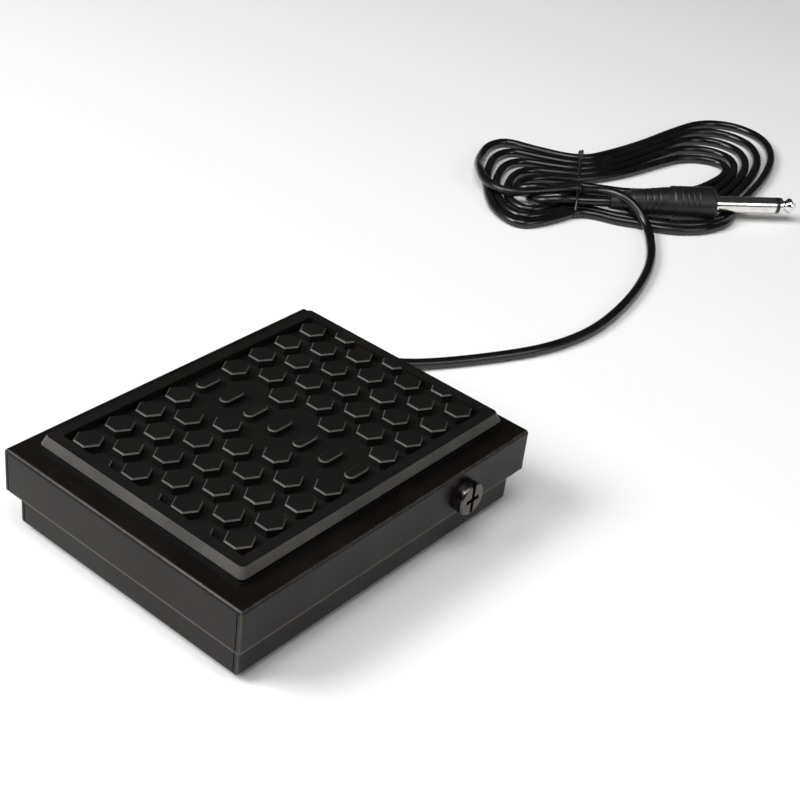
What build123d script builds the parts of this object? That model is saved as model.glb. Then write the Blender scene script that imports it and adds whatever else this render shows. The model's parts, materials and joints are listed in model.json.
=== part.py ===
from build123d import *
import math
import os

# Sustain pedal: a folded steel lid with a rubber tread, pivoted near its rear on a folded
# steel base, with a return spring, a lever switch, and a lead tied in a hank with a plug.
# Millimetres. +X right, +Y rear (where the lead leaves), +Z up. The origin is on the
# ground under the middle of the lid.

# ---------------------------------------------------------------- overall sizes
LID_WIDTH = 86.0
LID_LENGTH = 112.0
LID_TOP = 25.9
LID_SKIRT = 13.1
SHEET = 1.2
FOLD_RADIUS = 1.2
SEAM_GAP = 0.3

# ---------------------------------------------------------------- base tray
BASE_INSET = 2.7
BASE_RIM_DROP = 4.9
PIVOT_EAR_RISE = 5.2
PIVOT_EAR_LENGTH = 22.0
FOOT_HEIGHT = 2.0
FOOT_DIAMETER = 12.0
FOOT_FROM_EDGE = 10.0
FOOT_CHAMFER = 0.5
PIVOT_EAR_ROOT = 1.0
PIVOT_EAR_CHAMFER = 3.0
PIVOT_EAR_GAP = 1.5

# ---------------------------------------------------------------- rubber tread
PAD_MARGIN_SIDE = 6.3
PAD_MARGIN_FRONT = 6.2
PAD_MARGIN_REAR = 4.8
PAD_HEIGHT = 4.7
PAD_FLOOR = 2.2
PAD_BEVEL_OUT = 1.1
PAD_BEVEL_DROP = 2.7
PAD_RIM_WIDTH = 3.2
PAD_GROOVE = 0.5
PAD_FOOT_HEIGHT = 0.8
PAD_CORNER = 1.5
STUD_PITCH = 10.5
STUD_FLATS = 7.1
STUD_EDGE = 0.35
STUD_ROOT = 0.2
BAR_BAND_ROWS = 0.75
CLIPPED_STUD_LEAST = 0.8
BAR_WIDTH = 3.4
BAR_LENGTH = 8.0
BAR_DROP = 0.4
PEG_DIAMETER = 4.0
PEG_HEAD = 6.4
PEG_HEAD_THICK = 1.0
PEG_ROOT = 0.5
PEG_FROM_PAD_SIDE = 12.6
PEG_FROM_PAD_END = 14.3

# ---------------------------------------------------------------- pivot
PIVOT_FROM_REAR = 28.0
PIVOT_BELOW_TOP = 8.4
SHOULDER_DIAMETER = 5.0
THREAD_DIAMETER = 4.0
THREAD_LENGTH = 6.2
SCREW_HEAD_DIAMETER = 9.6
SCREW_HEAD_THICK = 2.6
SCREW_SLOT = 1.3
SCREW_SLOT_DEPTH = 1.1
SCREW_HEAD_EDGE = 0.7
SCREW_CROSS_SHARE = 0.55
BUSH_WALL = 1.0
BUSH_FLANGE_DIAMETER = 9.0
BUSH_FLANGE_THICK = 0.5
BUSH_END_PROUD = 0.5
SPACER_GAP = 0.2
NUT_FLATS = 7.0
NUT_THICK = 3.2
LID_TRAVEL_DEG = 3.0

# ---------------------------------------------------------------- spring
SPRING_FROM_FRONT = 26.0
SPRING_DIAMETER = 13.0
SPRING_WIRE = 1.4
SPRING_TURNS = 6
SEAT_DIAMETER = 18.0
SEAT_FLOOR = 1.2
SEAT_RIM_RISE = 3.0
CAP_BOSS_LENGTH = 3.0
STEM_HEAD_THICK = 0.8

# ---------------------------------------------------------------- switch
SWITCH_FROM_WALL = 21.2
SWITCH_FROM_SPRING = 18.0
SWITCH_BOTTOM = 8.5
SWITCH_WIDTH = 5.8
SWITCH_LENGTH = 12.8
SWITCH_HEIGHT = 6.5
SWITCH_HOLE_SPACING = 6.5
SWITCH_HOLE_RISE = 1.6
SWITCH_EDGE = 0.3
SWITCH_SCREW = 2.0
SWITCH_SCREW_HEAD = 3.6
SWITCH_SCREW_HEAD_THICK = 1.2
SWITCH_SCREW_SLOT = 0.5
SWITCH_SCREW_PROUD = 0.5
SWITCH_NUT_FLATS = 4.0
SWITCH_NUT_THICK = 1.6
LUG_GAP = 0.15
LUG_BEHIND = 0.9
LUG_AHEAD = 0.8
LUG_ROOT = 0.5
PLUNGER_WIDTH = 3.0
PLUNGER_LENGTH = 1.6
PLUNGER_IN_CASE = 1.1
PLUNGER_POCKET = 2.5
PLUNGER_EDGE = 0.5
PLUNGER_RISE = 1.5
PLUNGER_FROM_HINGE = 6.0
LEVER_LENGTH = 15.6
LEVER_THICK = 0.4
LEVER_WIDTH = 3.4
LEVER_RISE_DEG = 12.0
LEVER_PIN = 0.8
LEVER_KNUCKLE = 1.5
ACTUATOR_FROM_HINGE = 14.1
ACTUATOR_NOSE = 1.2
ACTUATOR_TAB = 9.0
BRACKET_THICK = 1.0
BRACKET_FOOT = 11.0
BRACKET_LENGTH = 12.0
BRACKET_BELOW_TOP = 1.5
RIVET_SPACING = 7.0
RIVET_DIAMETER = 3.0
RIVET_HEAD = 5.0
RIVET_HEAD_THICK = 0.9
RIVET_TAIL = 4.4
RIVET_TAIL_THICK = 0.6
TERMINAL_DROP = 3.9
TERMINAL_PITCH = 5.0
TERMINAL_THICK = 0.5
TERMINAL_WIDTH = 1.8

# ---------------------------------------------------------------- stops
BUFFER_FROM_WALL = 21.1
BUFFER_FROM_FRONT = 10.5
BUFFER_DIAMETER = 8.0
BUFFER_EDGE = 1.0
HOOK_WIDTH = 12.0
HOOK_THICK = 1.0
HOOK_FOOT = 3.4
HOOK_FROM_WALL = 1.0
HOOK_TAB = 8.0
HOOK_CATCH_DEPTH = 6.1

# ---------------------------------------------------------------- lead and plug
CORD_DIAMETER = 3.5
CORD_EXIT_FROM_WALL = 9.1
CORD_EXIT_Z = 8.0
GLAND_FLANGE = 8.4
GLAND_FLANGE_THICK = 1.4
GLAND_NECK = 7.0
GLAND_NOSE_LENGTH = 5.6
GLAND_NOSE_TIP = 5.2
GLAND_GRIP_THICK = 1.6
GLAND_SOCKET_DEPTH = 0.2
WIRE_DIAMETER = 1.3
WIRE_SPLIT = 0.8
CABLE_END_FROM_SWITCH = 13.9
CLAMP_FROM_REAR = 29.3
CLAMP_LENGTH = 7.0
CLAMP_THICK = 1.2
CLAMP_FOOT = 5.5
CLAMP_SCREW = 3.0
CLAMP_SCREW_HEAD = 5.0
CLAMP_SCREW_HEAD_THICK = 1.6
CLAMP_SCREW_SLOT = 0.7
CLAMP_SCREW_PROUD = 1.2
PLUG_SHAFT = 6.35
PLUG_SHAFT_LENGTH = 26.0
PLUG_COLLAR = 8.0
PLUG_COLLAR_LENGTH = 1.6
PLUG_INSULATOR_LENGTH = 1.6
PLUG_HANDLE_LENGTH = 42.0
PLUG_HANDLE_DIAMETER = 13.4
HANDLE_TAIL = 6.4
HANDLE_NECK = 9.8
HANDLE_NECK_FROM_TAIL = 8.0
HANDLE_STEP = 0.5
HANDLE_STEP_BACK = 17.0
HANDLE_TAPER_END = 20.0
HANDLE_EDGE = 0.6
GROOVE_WIDTH = 0.9
GROOVE_DEPTH = 0.5
TAIL_GROOVES = [31.0, 28.5, 26.0]
GRIP_GROOVES = [14.5, 12.2, 9.9, 7.6]
TIP_WAIST = 3.8
TIP_BALL = 5.85
TIP_END = 0.8
TIP_SHOULDER_AT = 1.2
TIP_WAIST_AT = 2.6
TIP_WAIST_LENGTH = 0.6
TIP_BALL_AT = 4.6
TIP_BALL_LENGTH = 0.6
TIP_LENGTH = 7.9
TIP_ROUND = 0.3
PLUG_ANGLE = 49.7
PLUG_FRONT_X = -17.0
PLUG_FRONT_Y = 264.5
HANK_HEIGHT = 9.0
POCKET_WIDTH = 30.0
POCKET_DEPTH = 10.0
TIE_WIRE = 1.2
TIE_CORNER = 2.0
TIE_CENTRE = (-64.5, 241.0)
TIE_ANGLE = 50.0
TIE_SPAN = 70.0

# ---------------------------------------------------------------- clearances
FIT_CLEARANCE = 0.05
RUN_CLEARANCE = 0.05
STOP_CLEARANCE = 0.15
SIDE_CLEARANCE = 0.3
LEVER_CLEARANCE = 0.25
CUT_PAST = 1.0

# ---------------------------------------------------------------- derived places
LID_X = LID_WIDTH / 2
LID_Y = LID_LENGTH / 2
LID_UNDER = LID_TOP - SHEET
LID_BOTTOM = LID_TOP - LID_SKIRT
BASE_X = LID_X - BASE_INSET
BASE_Y = LID_Y - BASE_INSET
BASE_FLOOR = FOOT_HEIGHT + SHEET
BASE_RIM = LID_UNDER - BASE_RIM_DROP
PIVOT_Y = LID_Y - PIVOT_FROM_REAR
PIVOT_Z = LID_TOP - PIVOT_BELOW_TOP
SPRING_Y = SPRING_FROM_FRONT - LID_Y
SWITCH_X = BASE_X - SHEET - SWITCH_FROM_WALL
SWITCH_Y = SPRING_Y + SWITCH_FROM_SPRING
CORD_EXIT_X = CORD_EXIT_FROM_WALL + SHEET - BASE_X
CLAMP_Y = BASE_Y - CLAMP_FROM_REAR
TRAVEL = math.radians(LID_TRAVEL_DEG)
COLUMN_PITCH = STUD_PITCH * math.sqrt(3) / 2
PAD_CENTRE_Y = (PAD_MARGIN_FRONT - PAD_MARGIN_REAR) / 2
PAD_X = LID_X - PAD_MARGIN_SIDE
PAD_Y = LID_Y - (PAD_MARGIN_FRONT + PAD_MARGIN_REAR) / 2
BUSH_DIAMETER = SHOULDER_DIAMETER + 2 * RUN_CLEARANCE + 2 * BUSH_WALL
HINGE_Y = SWITCH_Y + SWITCH_LENGTH / 2 - LUG_AHEAD
SWITCH_TOP = SWITCH_BOTTOM + SWITCH_HEIGHT
LEVER_SLOPE = math.tan(math.radians(LEVER_RISE_DEG))
LEVER_OVER_BUTTON = SWITCH_TOP + PLUNGER_RISE + LEVER_CLEARANCE + LEVER_THICK / 2
HINGE_Z = LEVER_OVER_BUTTON - PLUNGER_FROM_HINGE * LEVER_SLOPE
LEVER_RATIO = (PIVOT_Y - HINGE_Y + ACTUATOR_FROM_HINGE) / ACTUATOR_FROM_HINGE
PLUNGER_RATIO = LEVER_RATIO * PLUNGER_FROM_HINGE
CABLE_Z = BASE_FLOOR + CORD_DIAMETER / 2
PLUG_AXIS_Z = PLUG_HANDLE_DIAMETER / 2 + 0.1
CORD_FLOOR_Z = CORD_DIAMETER / 2 + 0.05

# The lead's route on the ground, from the gland's nose to the hank.
GLAND_NOSE_Y = BASE_Y + GLAND_FLANGE_THICK + GLAND_NOSE_LENGTH
LEAD_ROUTE = [
    (CORD_EXIT_X, GLAND_NOSE_Y, CORD_EXIT_Z),
    (CORD_EXIT_X, GLAND_NOSE_Y + 11.0, CORD_EXIT_Z),
    (-26.5, 83.0, 4.2),
    (-19.5, 95.5, CORD_FLOOR_Z),
    (-9.0, 112.0, CORD_FLOOR_Z),
    (0.5, 131.0, CORD_FLOOR_Z),
    (3.9, 152.0, CORD_FLOOR_Z),
    (1.8, 173.0, CORD_FLOOR_Z),
    (-3.2, 193.0, CORD_FLOOR_Z),
    (-11.0, 213.0, CORD_FLOOR_Z),
    (-24.0, 232.5, CORD_FLOOR_Z),
]

# The hank's outer shape on the ground: two fans of loops drawn in towards the tie.
HANK_OUTLINE = [
    (-51.0, 205.0),
    (-64.0, 190.0),
    (-87.0, 197.0),
    (-106.0, 221.0),
    (-111.0, 246.0),
    (-99.0, 260.0),
    (-81.0, 265.0),
    (-75.0, 283.0),
    (-75.0, 315.0),
    (-72.0, 343.0),
    (-56.0, 355.0),
    (-34.0, 350.0),
    (-18.0, 325.0),
    (-9.0, 290.0),
    (-6.0, 259.0),
    (-12.5, 243.0),
    (-22.5, 231.5),
    (-35.0, 222.5),
    (-45.0, 216.0),
]


# ---------------------------------------------------------------- small helpers
def block(x0, x1, y0, y1, z0, z1):
    """A box between two corners."""
    centre = Location(((x0 + x1) / 2, (y0 + y1) / 2, (z0 + z1) / 2))
    return centre * Box(x1 - x0, y1 - y0, z1 - z0)


def rod_z(x, y, z0, z1, diameter):
    """A round rod standing between two heights."""
    return Location((x, y, (z0 + z1) / 2)) * Cylinder(diameter / 2, z1 - z0)


def rod_x(x0, x1, y, z, diameter):
    """A round rod lying along X."""
    return Location(((x0 + x1) / 2, y, z), (0, 90, 0)) * Cylinder(diameter / 2, x1 - x0)


def rod_y(x, y0, y1, z, diameter):
    """A round rod lying along Y."""
    return Location((x, (y0 + y1) / 2, z), (90, 0, 0)) * Cylinder(diameter / 2, y1 - y0)


def mirrored_x(solid):
    """The solid and its mirror image across the middle plane."""
    return Compound(children=[solid, mirror(solid, about=Plane.YZ)])


def tangent_radii(points):
    """Arc radii that use 0.45 of the shorter run beside each corner."""
    radii = []
    for before, here, after in zip(points, points[1:], points[2:]):
        run_in = Vector(*here) - Vector(*before)
        run_out = Vector(*after) - Vector(*here)
        turn = math.radians(run_in.get_angle(run_out))
        radii.append(0.45 * min(run_in.length, run_out.length) / math.tan(turn / 2))
    return radii


def tube_along(points, diameter, name):
    """A round tube whose centre line is straight runs joined by tangent arcs."""
    radii = tangent_radii(points)
    path = FilletPolyline(*points, radius=radii)
    start = Plane(origin=points[0], z_dir=Vector(*points[1]) - Vector(*points[0]))
    tube = sweep(start * Circle(diameter / 2), path=path)
    plain_volume = math.pi * diameter ** 2 / 4 * path.length
    print(name, "length", round(path.length, 1), "volume ratio", round(tube.volume / plain_volume, 4))
    print(name, "radii", [round(radius, 1) for radius in radii])
    return tube


def folded_tray(half_x, half_y, z_closed, z_open):
    """A folded sheet tray, closed at one height and open at the other, with corner seams."""
    low, high = min(z_closed, z_open), max(z_closed, z_open)
    outer = block(-half_x, half_x, -half_y, half_y, low, high)
    face = outer.faces().sort_by(Axis.Z)[-1 if z_closed > z_open else 0]
    outer = fillet(face.edges(), FOLD_RADIUS)
    corners = outer.edges().filter_by(Axis.Z)
    outer = fillet(corners, SHEET / 2)
    step = SHEET if z_closed > z_open else -SHEET
    floor = z_closed - step
    in_x, in_y = half_x - SHEET, half_y - SHEET
    tray = outer - block(-in_x, in_x, -in_y, in_y, min(floor, z_open), max(floor, z_open))
    seam_end = z_closed - math.copysign(FOLD_RADIUS, step)
    for sign_x in (-1, 1):
        for sign_y in (-1, 1):
            x_seam = sign_x * (half_x - SHEET)
            x_in = x_seam - sign_x * SEAM_GAP
            y_in = sign_y * (half_y - SHEET - SEAM_GAP)
            y_out = sign_y * (half_y + SEAM_GAP)
            tray -= block(min(x_seam, x_in), max(x_seam, x_in), min(y_in, y_out), max(y_in, y_out),
                          min(seam_end, z_open), max(seam_end, z_open))
    return tray


def hexagon_prism(x, y, z0, z1, flats):
    """A hexagonal prism with two flats parallel to X."""
    return Location((x, y, z0)) * extrude(RegularPolygon(flats / math.sqrt(3), 6), z1 - z0)


# ---------------------------------------------------------------- lid and what moves with it
def lid():
    """The folded lid with its pivot holes, tread holes and spring cap hole."""
    body = folded_tray(LID_X, LID_Y, LID_TOP, LID_BOTTOM)
    past = LID_X + CUT_PAST
    body -= rod_x(-past, past, PIVOT_Y, PIVOT_Z, BUSH_DIAMETER + 2 * FIT_CLEARANCE)
    for x, y in peg_places() + [(0, SPRING_Y)]:
        body -= rod_z(x, y, LID_UNDER - CUT_PAST, LID_TOP + CUT_PAST, PEG_DIAMETER + 2 * FIT_CLEARANCE)
    return body


def peg_places():
    """Where the tread's moulded pegs pass through the lid."""
    peg_x, peg_y = PAD_X - PEG_FROM_PAD_SIDE, PAD_Y - PEG_FROM_PAD_END
    return [(sx * peg_x, PAD_CENTRE_Y + sy * peg_y) for sx in (-1, 1) for sy in (-1, 1)]


def well_half_size():
    """Half the width and half the length of the recess that holds the studs."""
    edge = PAD_BEVEL_OUT + PAD_RIM_WIDTH
    return PAD_X - edge, PAD_Y - edge


def stud_columns():
    """Column numbers, counted from the middle one, that fit across the recess."""
    half = int((well_half_size()[0] - STUD_FLATS / math.sqrt(3)) / COLUMN_PITCH)
    return range(-half, half + 1)


def stud_places():
    """Centres of the tread's studs, column by column, leaving the middle band to the bars."""
    well_y = well_half_size()[1]
    last_row = int((well_y - STUD_FLATS / 2) / STUD_PITCH)
    places = []
    for column in stud_columns():
        shift = 0.5 if column % 2 == last_row % 2 else 0.0
        for row in range(-last_row - 1, last_row + 2):
            y = (row + shift) * STUD_PITCH
            inside = well_y + STUD_FLATS / 2 - abs(y) > CLIPPED_STUD_LEAST
            if inside and abs(row + shift) > BAR_BAND_ROWS:
                places.append((column * COLUMN_PITCH, PAD_CENTRE_Y + y))
    return places


def tread_pad():
    """The moulded rubber tread: a rim round a recess of hexagonal studs and seven grip bars."""
    low, high = LID_TOP, LID_TOP + PAD_HEIGHT
    centre = Location((0, PAD_CENTRE_Y, 0))
    pad_x = PAD_X - PAD_GROOVE
    pad_y = PAD_Y - PAD_GROOVE
    sides = centre * block(-pad_x, pad_x, -pad_y, pad_y, low, high - PAD_BEVEL_DROP)
    sides = fillet(sides.edges().filter_by(Axis.Z), PAD_CORNER)
    top_x, top_y = PAD_X - PAD_BEVEL_OUT, PAD_Y - PAD_BEVEL_OUT
    lower = Plane.XY.offset(high - PAD_BEVEL_DROP) * RectangleRounded(2 * PAD_X, 2 * PAD_Y, PAD_CORNER)
    upper = Plane.XY.offset(high) * RectangleRounded(2 * top_x, 2 * top_y, PAD_CORNER)
    bevel = centre * loft([lower, upper])
    lip = centre * block(-PAD_X, PAD_X, -PAD_Y, PAD_Y, low, low + PAD_FOOT_HEIGHT)
    lip = fillet(lip.edges().filter_by(Axis.Z), PAD_CORNER)
    pad = lip + sides + bevel
    well_x, well_y = well_half_size()
    well = centre * block(-well_x, well_x, -well_y, well_y, low + PAD_FLOOR, high + CUT_PAST)
    pad -= well
    root = low + PAD_FLOOR - STUD_ROOT
    for x, y in stud_places():
        stud = hexagon_prism(x, y, root, high, STUD_FLATS)
        stud = chamfer(stud.faces().sort_by(Axis.Z)[-1].edges(), STUD_EDGE)
        if abs(y - PAD_CENTRE_Y) + STUD_FLATS / 2 > well_y:
            stud = stud & well
        pad += stud
    for column in stud_columns():
        place = Plane(origin=(column * COLUMN_PITCH, PAD_CENTRE_Y, root))
        bar = extrude(place * SlotOverall(BAR_LENGTH, BAR_WIDTH, 90), high - BAR_DROP - root)
        pad += chamfer(bar.faces().sort_by(Axis.Z)[-1].edges(), STUD_EDGE)
    for x, y in peg_places():
        pad += rod_z(x, y, LID_UNDER - PEG_HEAD_THICK, low + PEG_ROOT, PEG_DIAMETER)
        pad += rod_z(x, y, LID_UNDER - PEG_HEAD_THICK, LID_UNDER, PEG_HEAD)
    return pad


def pivot_bushes():
    """Flanged plastic bushes in the lid's pivot holes."""
    inner = LID_X - SHEET - BUSH_END_PROUD
    bush = rod_x(inner, LID_X + BUSH_FLANGE_THICK, PIVOT_Y, PIVOT_Z, BUSH_DIAMETER)
    bush += rod_x(LID_X, LID_X + BUSH_FLANGE_THICK, PIVOT_Y, PIVOT_Z, BUSH_FLANGE_DIAMETER)
    bore = SHOULDER_DIAMETER + 2 * RUN_CLEARANCE
    bush -= rod_x(inner - CUT_PAST, LID_X + BUSH_FLANGE_THICK + CUT_PAST, PIVOT_Y, PIVOT_Z, bore)
    return mirrored_x(bush)


def spring_cap():
    """The plastic cap under the lid that centres the spring's top."""
    cap = rod_z(0, SPRING_Y, LID_UNDER - SEAT_FLOOR, LID_UNDER, SEAT_DIAMETER)
    boss = SPRING_DIAMETER - 2 * SPRING_WIRE - 2 * SIDE_CLEARANCE
    cap += rod_z(0, SPRING_Y, LID_UNDER - SEAT_FLOOR - CAP_BOSS_LENGTH, LID_UNDER, boss)
    cap += rod_z(0, SPRING_Y, LID_UNDER, LID_TOP, PEG_DIAMETER)
    return cap


def switch_actuator():
    """A bent tongue under the lid whose rounded nose presses the switch lever."""
    nose_y = HINGE_Y - ACTUATOR_FROM_HINGE
    lever_top = HINGE_Z + ACTUATOR_FROM_HINGE * LEVER_SLOPE + LEVER_THICK / 2
    nose_z = lever_top + LEVER_CLEARANCE + ACTUATOR_NOSE
    x0, x1 = SWITCH_X - LEVER_WIDTH, SWITCH_X + LEVER_WIDTH
    tongue = block(x0, x1, nose_y - ACTUATOR_NOSE, nose_y + ACTUATOR_NOSE, nose_z, LID_UNDER)
    tongue += rod_x(x0, x1, nose_y, nose_z, 2 * ACTUATOR_NOSE)
    tongue += block(x0, x1, nose_y - ACTUATOR_NOSE, nose_y + ACTUATOR_TAB, LID_UNDER - SHEET, LID_UNDER)
    return tongue


def stop_hook():
    """The bent strip under the lid's front that catches the base's window and holds the lid down."""
    y_front = SHEET + SIDE_CLEARANCE + HOOK_FROM_WALL - BASE_Y
    y_back = y_front + HOOK_THICK
    foot_top = hook_foot_top()
    foot_low = foot_top - HOOK_THICK
    half = HOOK_WIDTH / 2
    hook = block(-half, half, y_front, y_back, foot_low, LID_UNDER)
    hook += block(-half, half, y_front - HOOK_FOOT, y_back, foot_low, foot_top)
    hook += block(-half, half, y_front, y_front + HOOK_TAB, LID_UNDER - HOOK_THICK, LID_UNDER)
    return hook


def hook_foot_top():
    """Height of the hook's foot under the window's top edge with the lid at rest."""
    return LID_UNDER - HOOK_CATCH_DEPTH


# ---------------------------------------------------------------- base and what is fixed to it
def foot_places():
    """Centres of the rubber feet."""
    foot_x, foot_y = BASE_X - FOOT_FROM_EDGE, BASE_Y - FOOT_FROM_EDGE
    return [(sx * foot_x, sy * foot_y) for sx in (-1, 1) for sy in (-1, 1)]


def buffer_places():
    """Centres of the two rubber buffers that end the lid's travel."""
    buffer_x = BASE_X - SHEET - BUFFER_FROM_WALL
    return [(sx * buffer_x, BUFFER_FROM_FRONT - LID_Y) for sx in (-1, 1)]


def clamp_screw_places():
    """Centres of the cable clamp's screws."""
    reach = CORD_DIAMETER / 2 + CLAMP_THICK + CLAMP_FOOT / 2
    return [(CORD_EXIT_X + sx * reach, CLAMP_Y) for sx in (-1, 1)]


def bracket_rivet_places():
    """Centres of the switch bracket's rivets."""
    x = SWITCH_X + SWITCH_WIDTH / 2 + BRACKET_THICK + BRACKET_FOOT / 2
    return [(x, SWITCH_Y - RIVET_SPACING / 2), (x, SWITCH_Y + RIVET_SPACING / 2)]


def base_tray():
    """The folded base with raised ears at the pivot, a catch window and its holes."""
    tray = folded_tray(BASE_X, BASE_Y, FOOT_HEIGHT, BASE_RIM)
    ear_half = PIVOT_EAR_LENGTH / 2
    ear_top = min(PIVOT_Z + PIVOT_EAR_RISE, LID_UNDER - PIVOT_EAR_GAP)
    for sign in (-1, 1):
        x0, x1 = sorted((sign * BASE_X, sign * (BASE_X - SHEET)))
        ear = block(x0, x1, PIVOT_Y - ear_half, PIVOT_Y + ear_half, BASE_RIM - PIVOT_EAR_ROOT, ear_top)
        top_edges = ear.edges().filter_by(Axis.X).group_by(Axis.Z)[-1]
        tray += chamfer(top_edges, PIVOT_EAR_CHAMFER)
    tray -= rod_x(-LID_X, LID_X, PIVOT_Y, PIVOT_Z, THREAD_DIAMETER + 2 * FIT_CLEARANCE)
    gland_hole = GLAND_NECK + 2 * FIT_CLEARANCE
    tray -= rod_y(CORD_EXIT_X, BASE_Y - SHEET - CUT_PAST, BASE_Y + CUT_PAST, CORD_EXIT_Z, gland_hole)
    front_drop = (PIVOT_Y + BASE_Y) * math.sin(TRAVEL)
    window_half = HOOK_WIDTH / 2 + SIDE_CLEARANCE
    window_top = hook_foot_top() + STOP_CLEARANCE
    window_low = hook_foot_top() - HOOK_THICK - front_drop - SIDE_CLEARANCE
    window_y = -BASE_Y - CUT_PAST
    window_end = SHEET + FIT_CLEARANCE - BASE_Y
    tray -= block(-window_half, window_half, window_y, window_end, window_low, window_top)
    holes = [(place, CLAMP_SCREW) for place in clamp_screw_places()]
    holes += [(place, RIVET_DIAMETER) for place in bracket_rivet_places()]
    holes += [(place, PEG_DIAMETER) for place in buffer_places() + [(0, SPRING_Y)]]
    for (x, y), diameter in holes:
        tray -= rod_z(x, y, 0, BASE_FLOOR + CUT_PAST, diameter + 2 * FIT_CLEARANCE)
    return tray


def rubber_feet():
    """Four round rubber feet stuck under the base."""
    feet = []
    for x, y in foot_places():
        foot = rod_z(x, y, 0, FOOT_HEIGHT, FOOT_DIAMETER)
        feet.append(chamfer(foot.edges().sort_by(Axis.Z)[:1], FOOT_CHAMFER))
    return Compound(children=feet)


def pivot_screws():
    """Shoulder screws with a round slotted head, one each side."""
    under_head = LID_X + BUSH_FLANGE_THICK + RUN_CLEARANCE
    head = rod_x(under_head, under_head + SCREW_HEAD_THICK, PIVOT_Y, PIVOT_Z, SCREW_HEAD_DIAMETER)
    head = fillet(head.edges().sort_by(Axis.X)[-1], SCREW_HEAD_EDGE)
    face = under_head + SCREW_HEAD_THICK
    half = SCREW_HEAD_DIAMETER / 2
    slot = SCREW_SLOT / 2
    cross = half * SCREW_CROSS_SHARE
    for reach_y, reach_z in ((slot, half + CUT_PAST), (cross, slot)):
        head -= block(face - SCREW_SLOT_DEPTH, face + CUT_PAST, PIVOT_Y - reach_y, PIVOT_Y + reach_y,
                      PIVOT_Z - reach_z, PIVOT_Z + reach_z)
    screw = head + rod_x(BASE_X, under_head, PIVOT_Y, PIVOT_Z, SHOULDER_DIAMETER)
    screw += rod_x(BASE_X - THREAD_LENGTH, BASE_X, PIVOT_Y, PIVOT_Z, THREAD_DIAMETER)
    return mirrored_x(screw)


def pivot_spacers():
    """Washers on the shoulders between the base's wall and the lid's bush."""
    inner, outer = BASE_X, LID_X - SHEET - BUSH_END_PROUD - SPACER_GAP
    washer = rod_x(inner, outer, PIVOT_Y, PIVOT_Z, BUSH_FLANGE_DIAMETER)
    bore = SHOULDER_DIAMETER + 2 * FIT_CLEARANCE
    washer -= rod_x(inner - CUT_PAST, outer + CUT_PAST, PIVOT_Y, PIVOT_Z, bore)
    return mirrored_x(washer)


def pivot_nuts():
    """Hexagonal nuts that hold the shoulder screws inside the base."""
    outer = BASE_X - SHEET
    nut = extrude(RegularPolygon(NUT_FLATS / math.sqrt(3), 6), NUT_THICK)
    nut = Location((outer - NUT_THICK, PIVOT_Y, PIVOT_Z), (0, 90, 0)) * nut
    bore = THREAD_DIAMETER + 2 * FIT_CLEARANCE
    nut -= rod_x(outer - NUT_THICK - CUT_PAST, outer + CUT_PAST, PIVOT_Y, PIVOT_Z, bore)
    return mirrored_x(nut)


def spring_seat():
    """The plastic cup on the base that holds the spring's foot, with a snap stem."""
    rim_top = BASE_FLOOR + SEAT_FLOOR + SEAT_RIM_RISE
    seat = rod_z(0, SPRING_Y, BASE_FLOOR, rim_top, SEAT_DIAMETER)
    bore = SPRING_DIAMETER + 4 * SIDE_CLEARANCE
    seat -= rod_z(0, SPRING_Y, BASE_FLOOR + SEAT_FLOOR, rim_top + CUT_PAST, bore)
    return seat + snap_stem(0, SPRING_Y)


def snap_stem(x, y):
    """A stem through the base's floor with a flat head under it."""
    head_low = FOOT_HEIGHT - STEM_HEAD_THICK
    return rod_z(x, y, head_low, BASE_FLOOR, PEG_DIAMETER) + rod_z(x, y, head_low, FOOT_HEIGHT, PEG_HEAD)


def return_spring():
    """The compression spring between the seat and the cap."""
    low = BASE_FLOOR + SEAT_FLOOR + SPRING_WIRE / 2
    high = LID_UNDER - SEAT_FLOOR - SPRING_WIRE / 2
    radius = (SPRING_DIAMETER - SPRING_WIRE) / 2
    path = Helix(pitch=(high - low) / SPRING_TURNS, height=high - low, radius=radius)
    start = Plane(origin=path @ 0, z_dir=path % 0)
    coil = sweep(start * Circle(SPRING_WIRE / 2), path=path, is_frenet=True)
    return Location((0, SPRING_Y, low)) * coil


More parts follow.
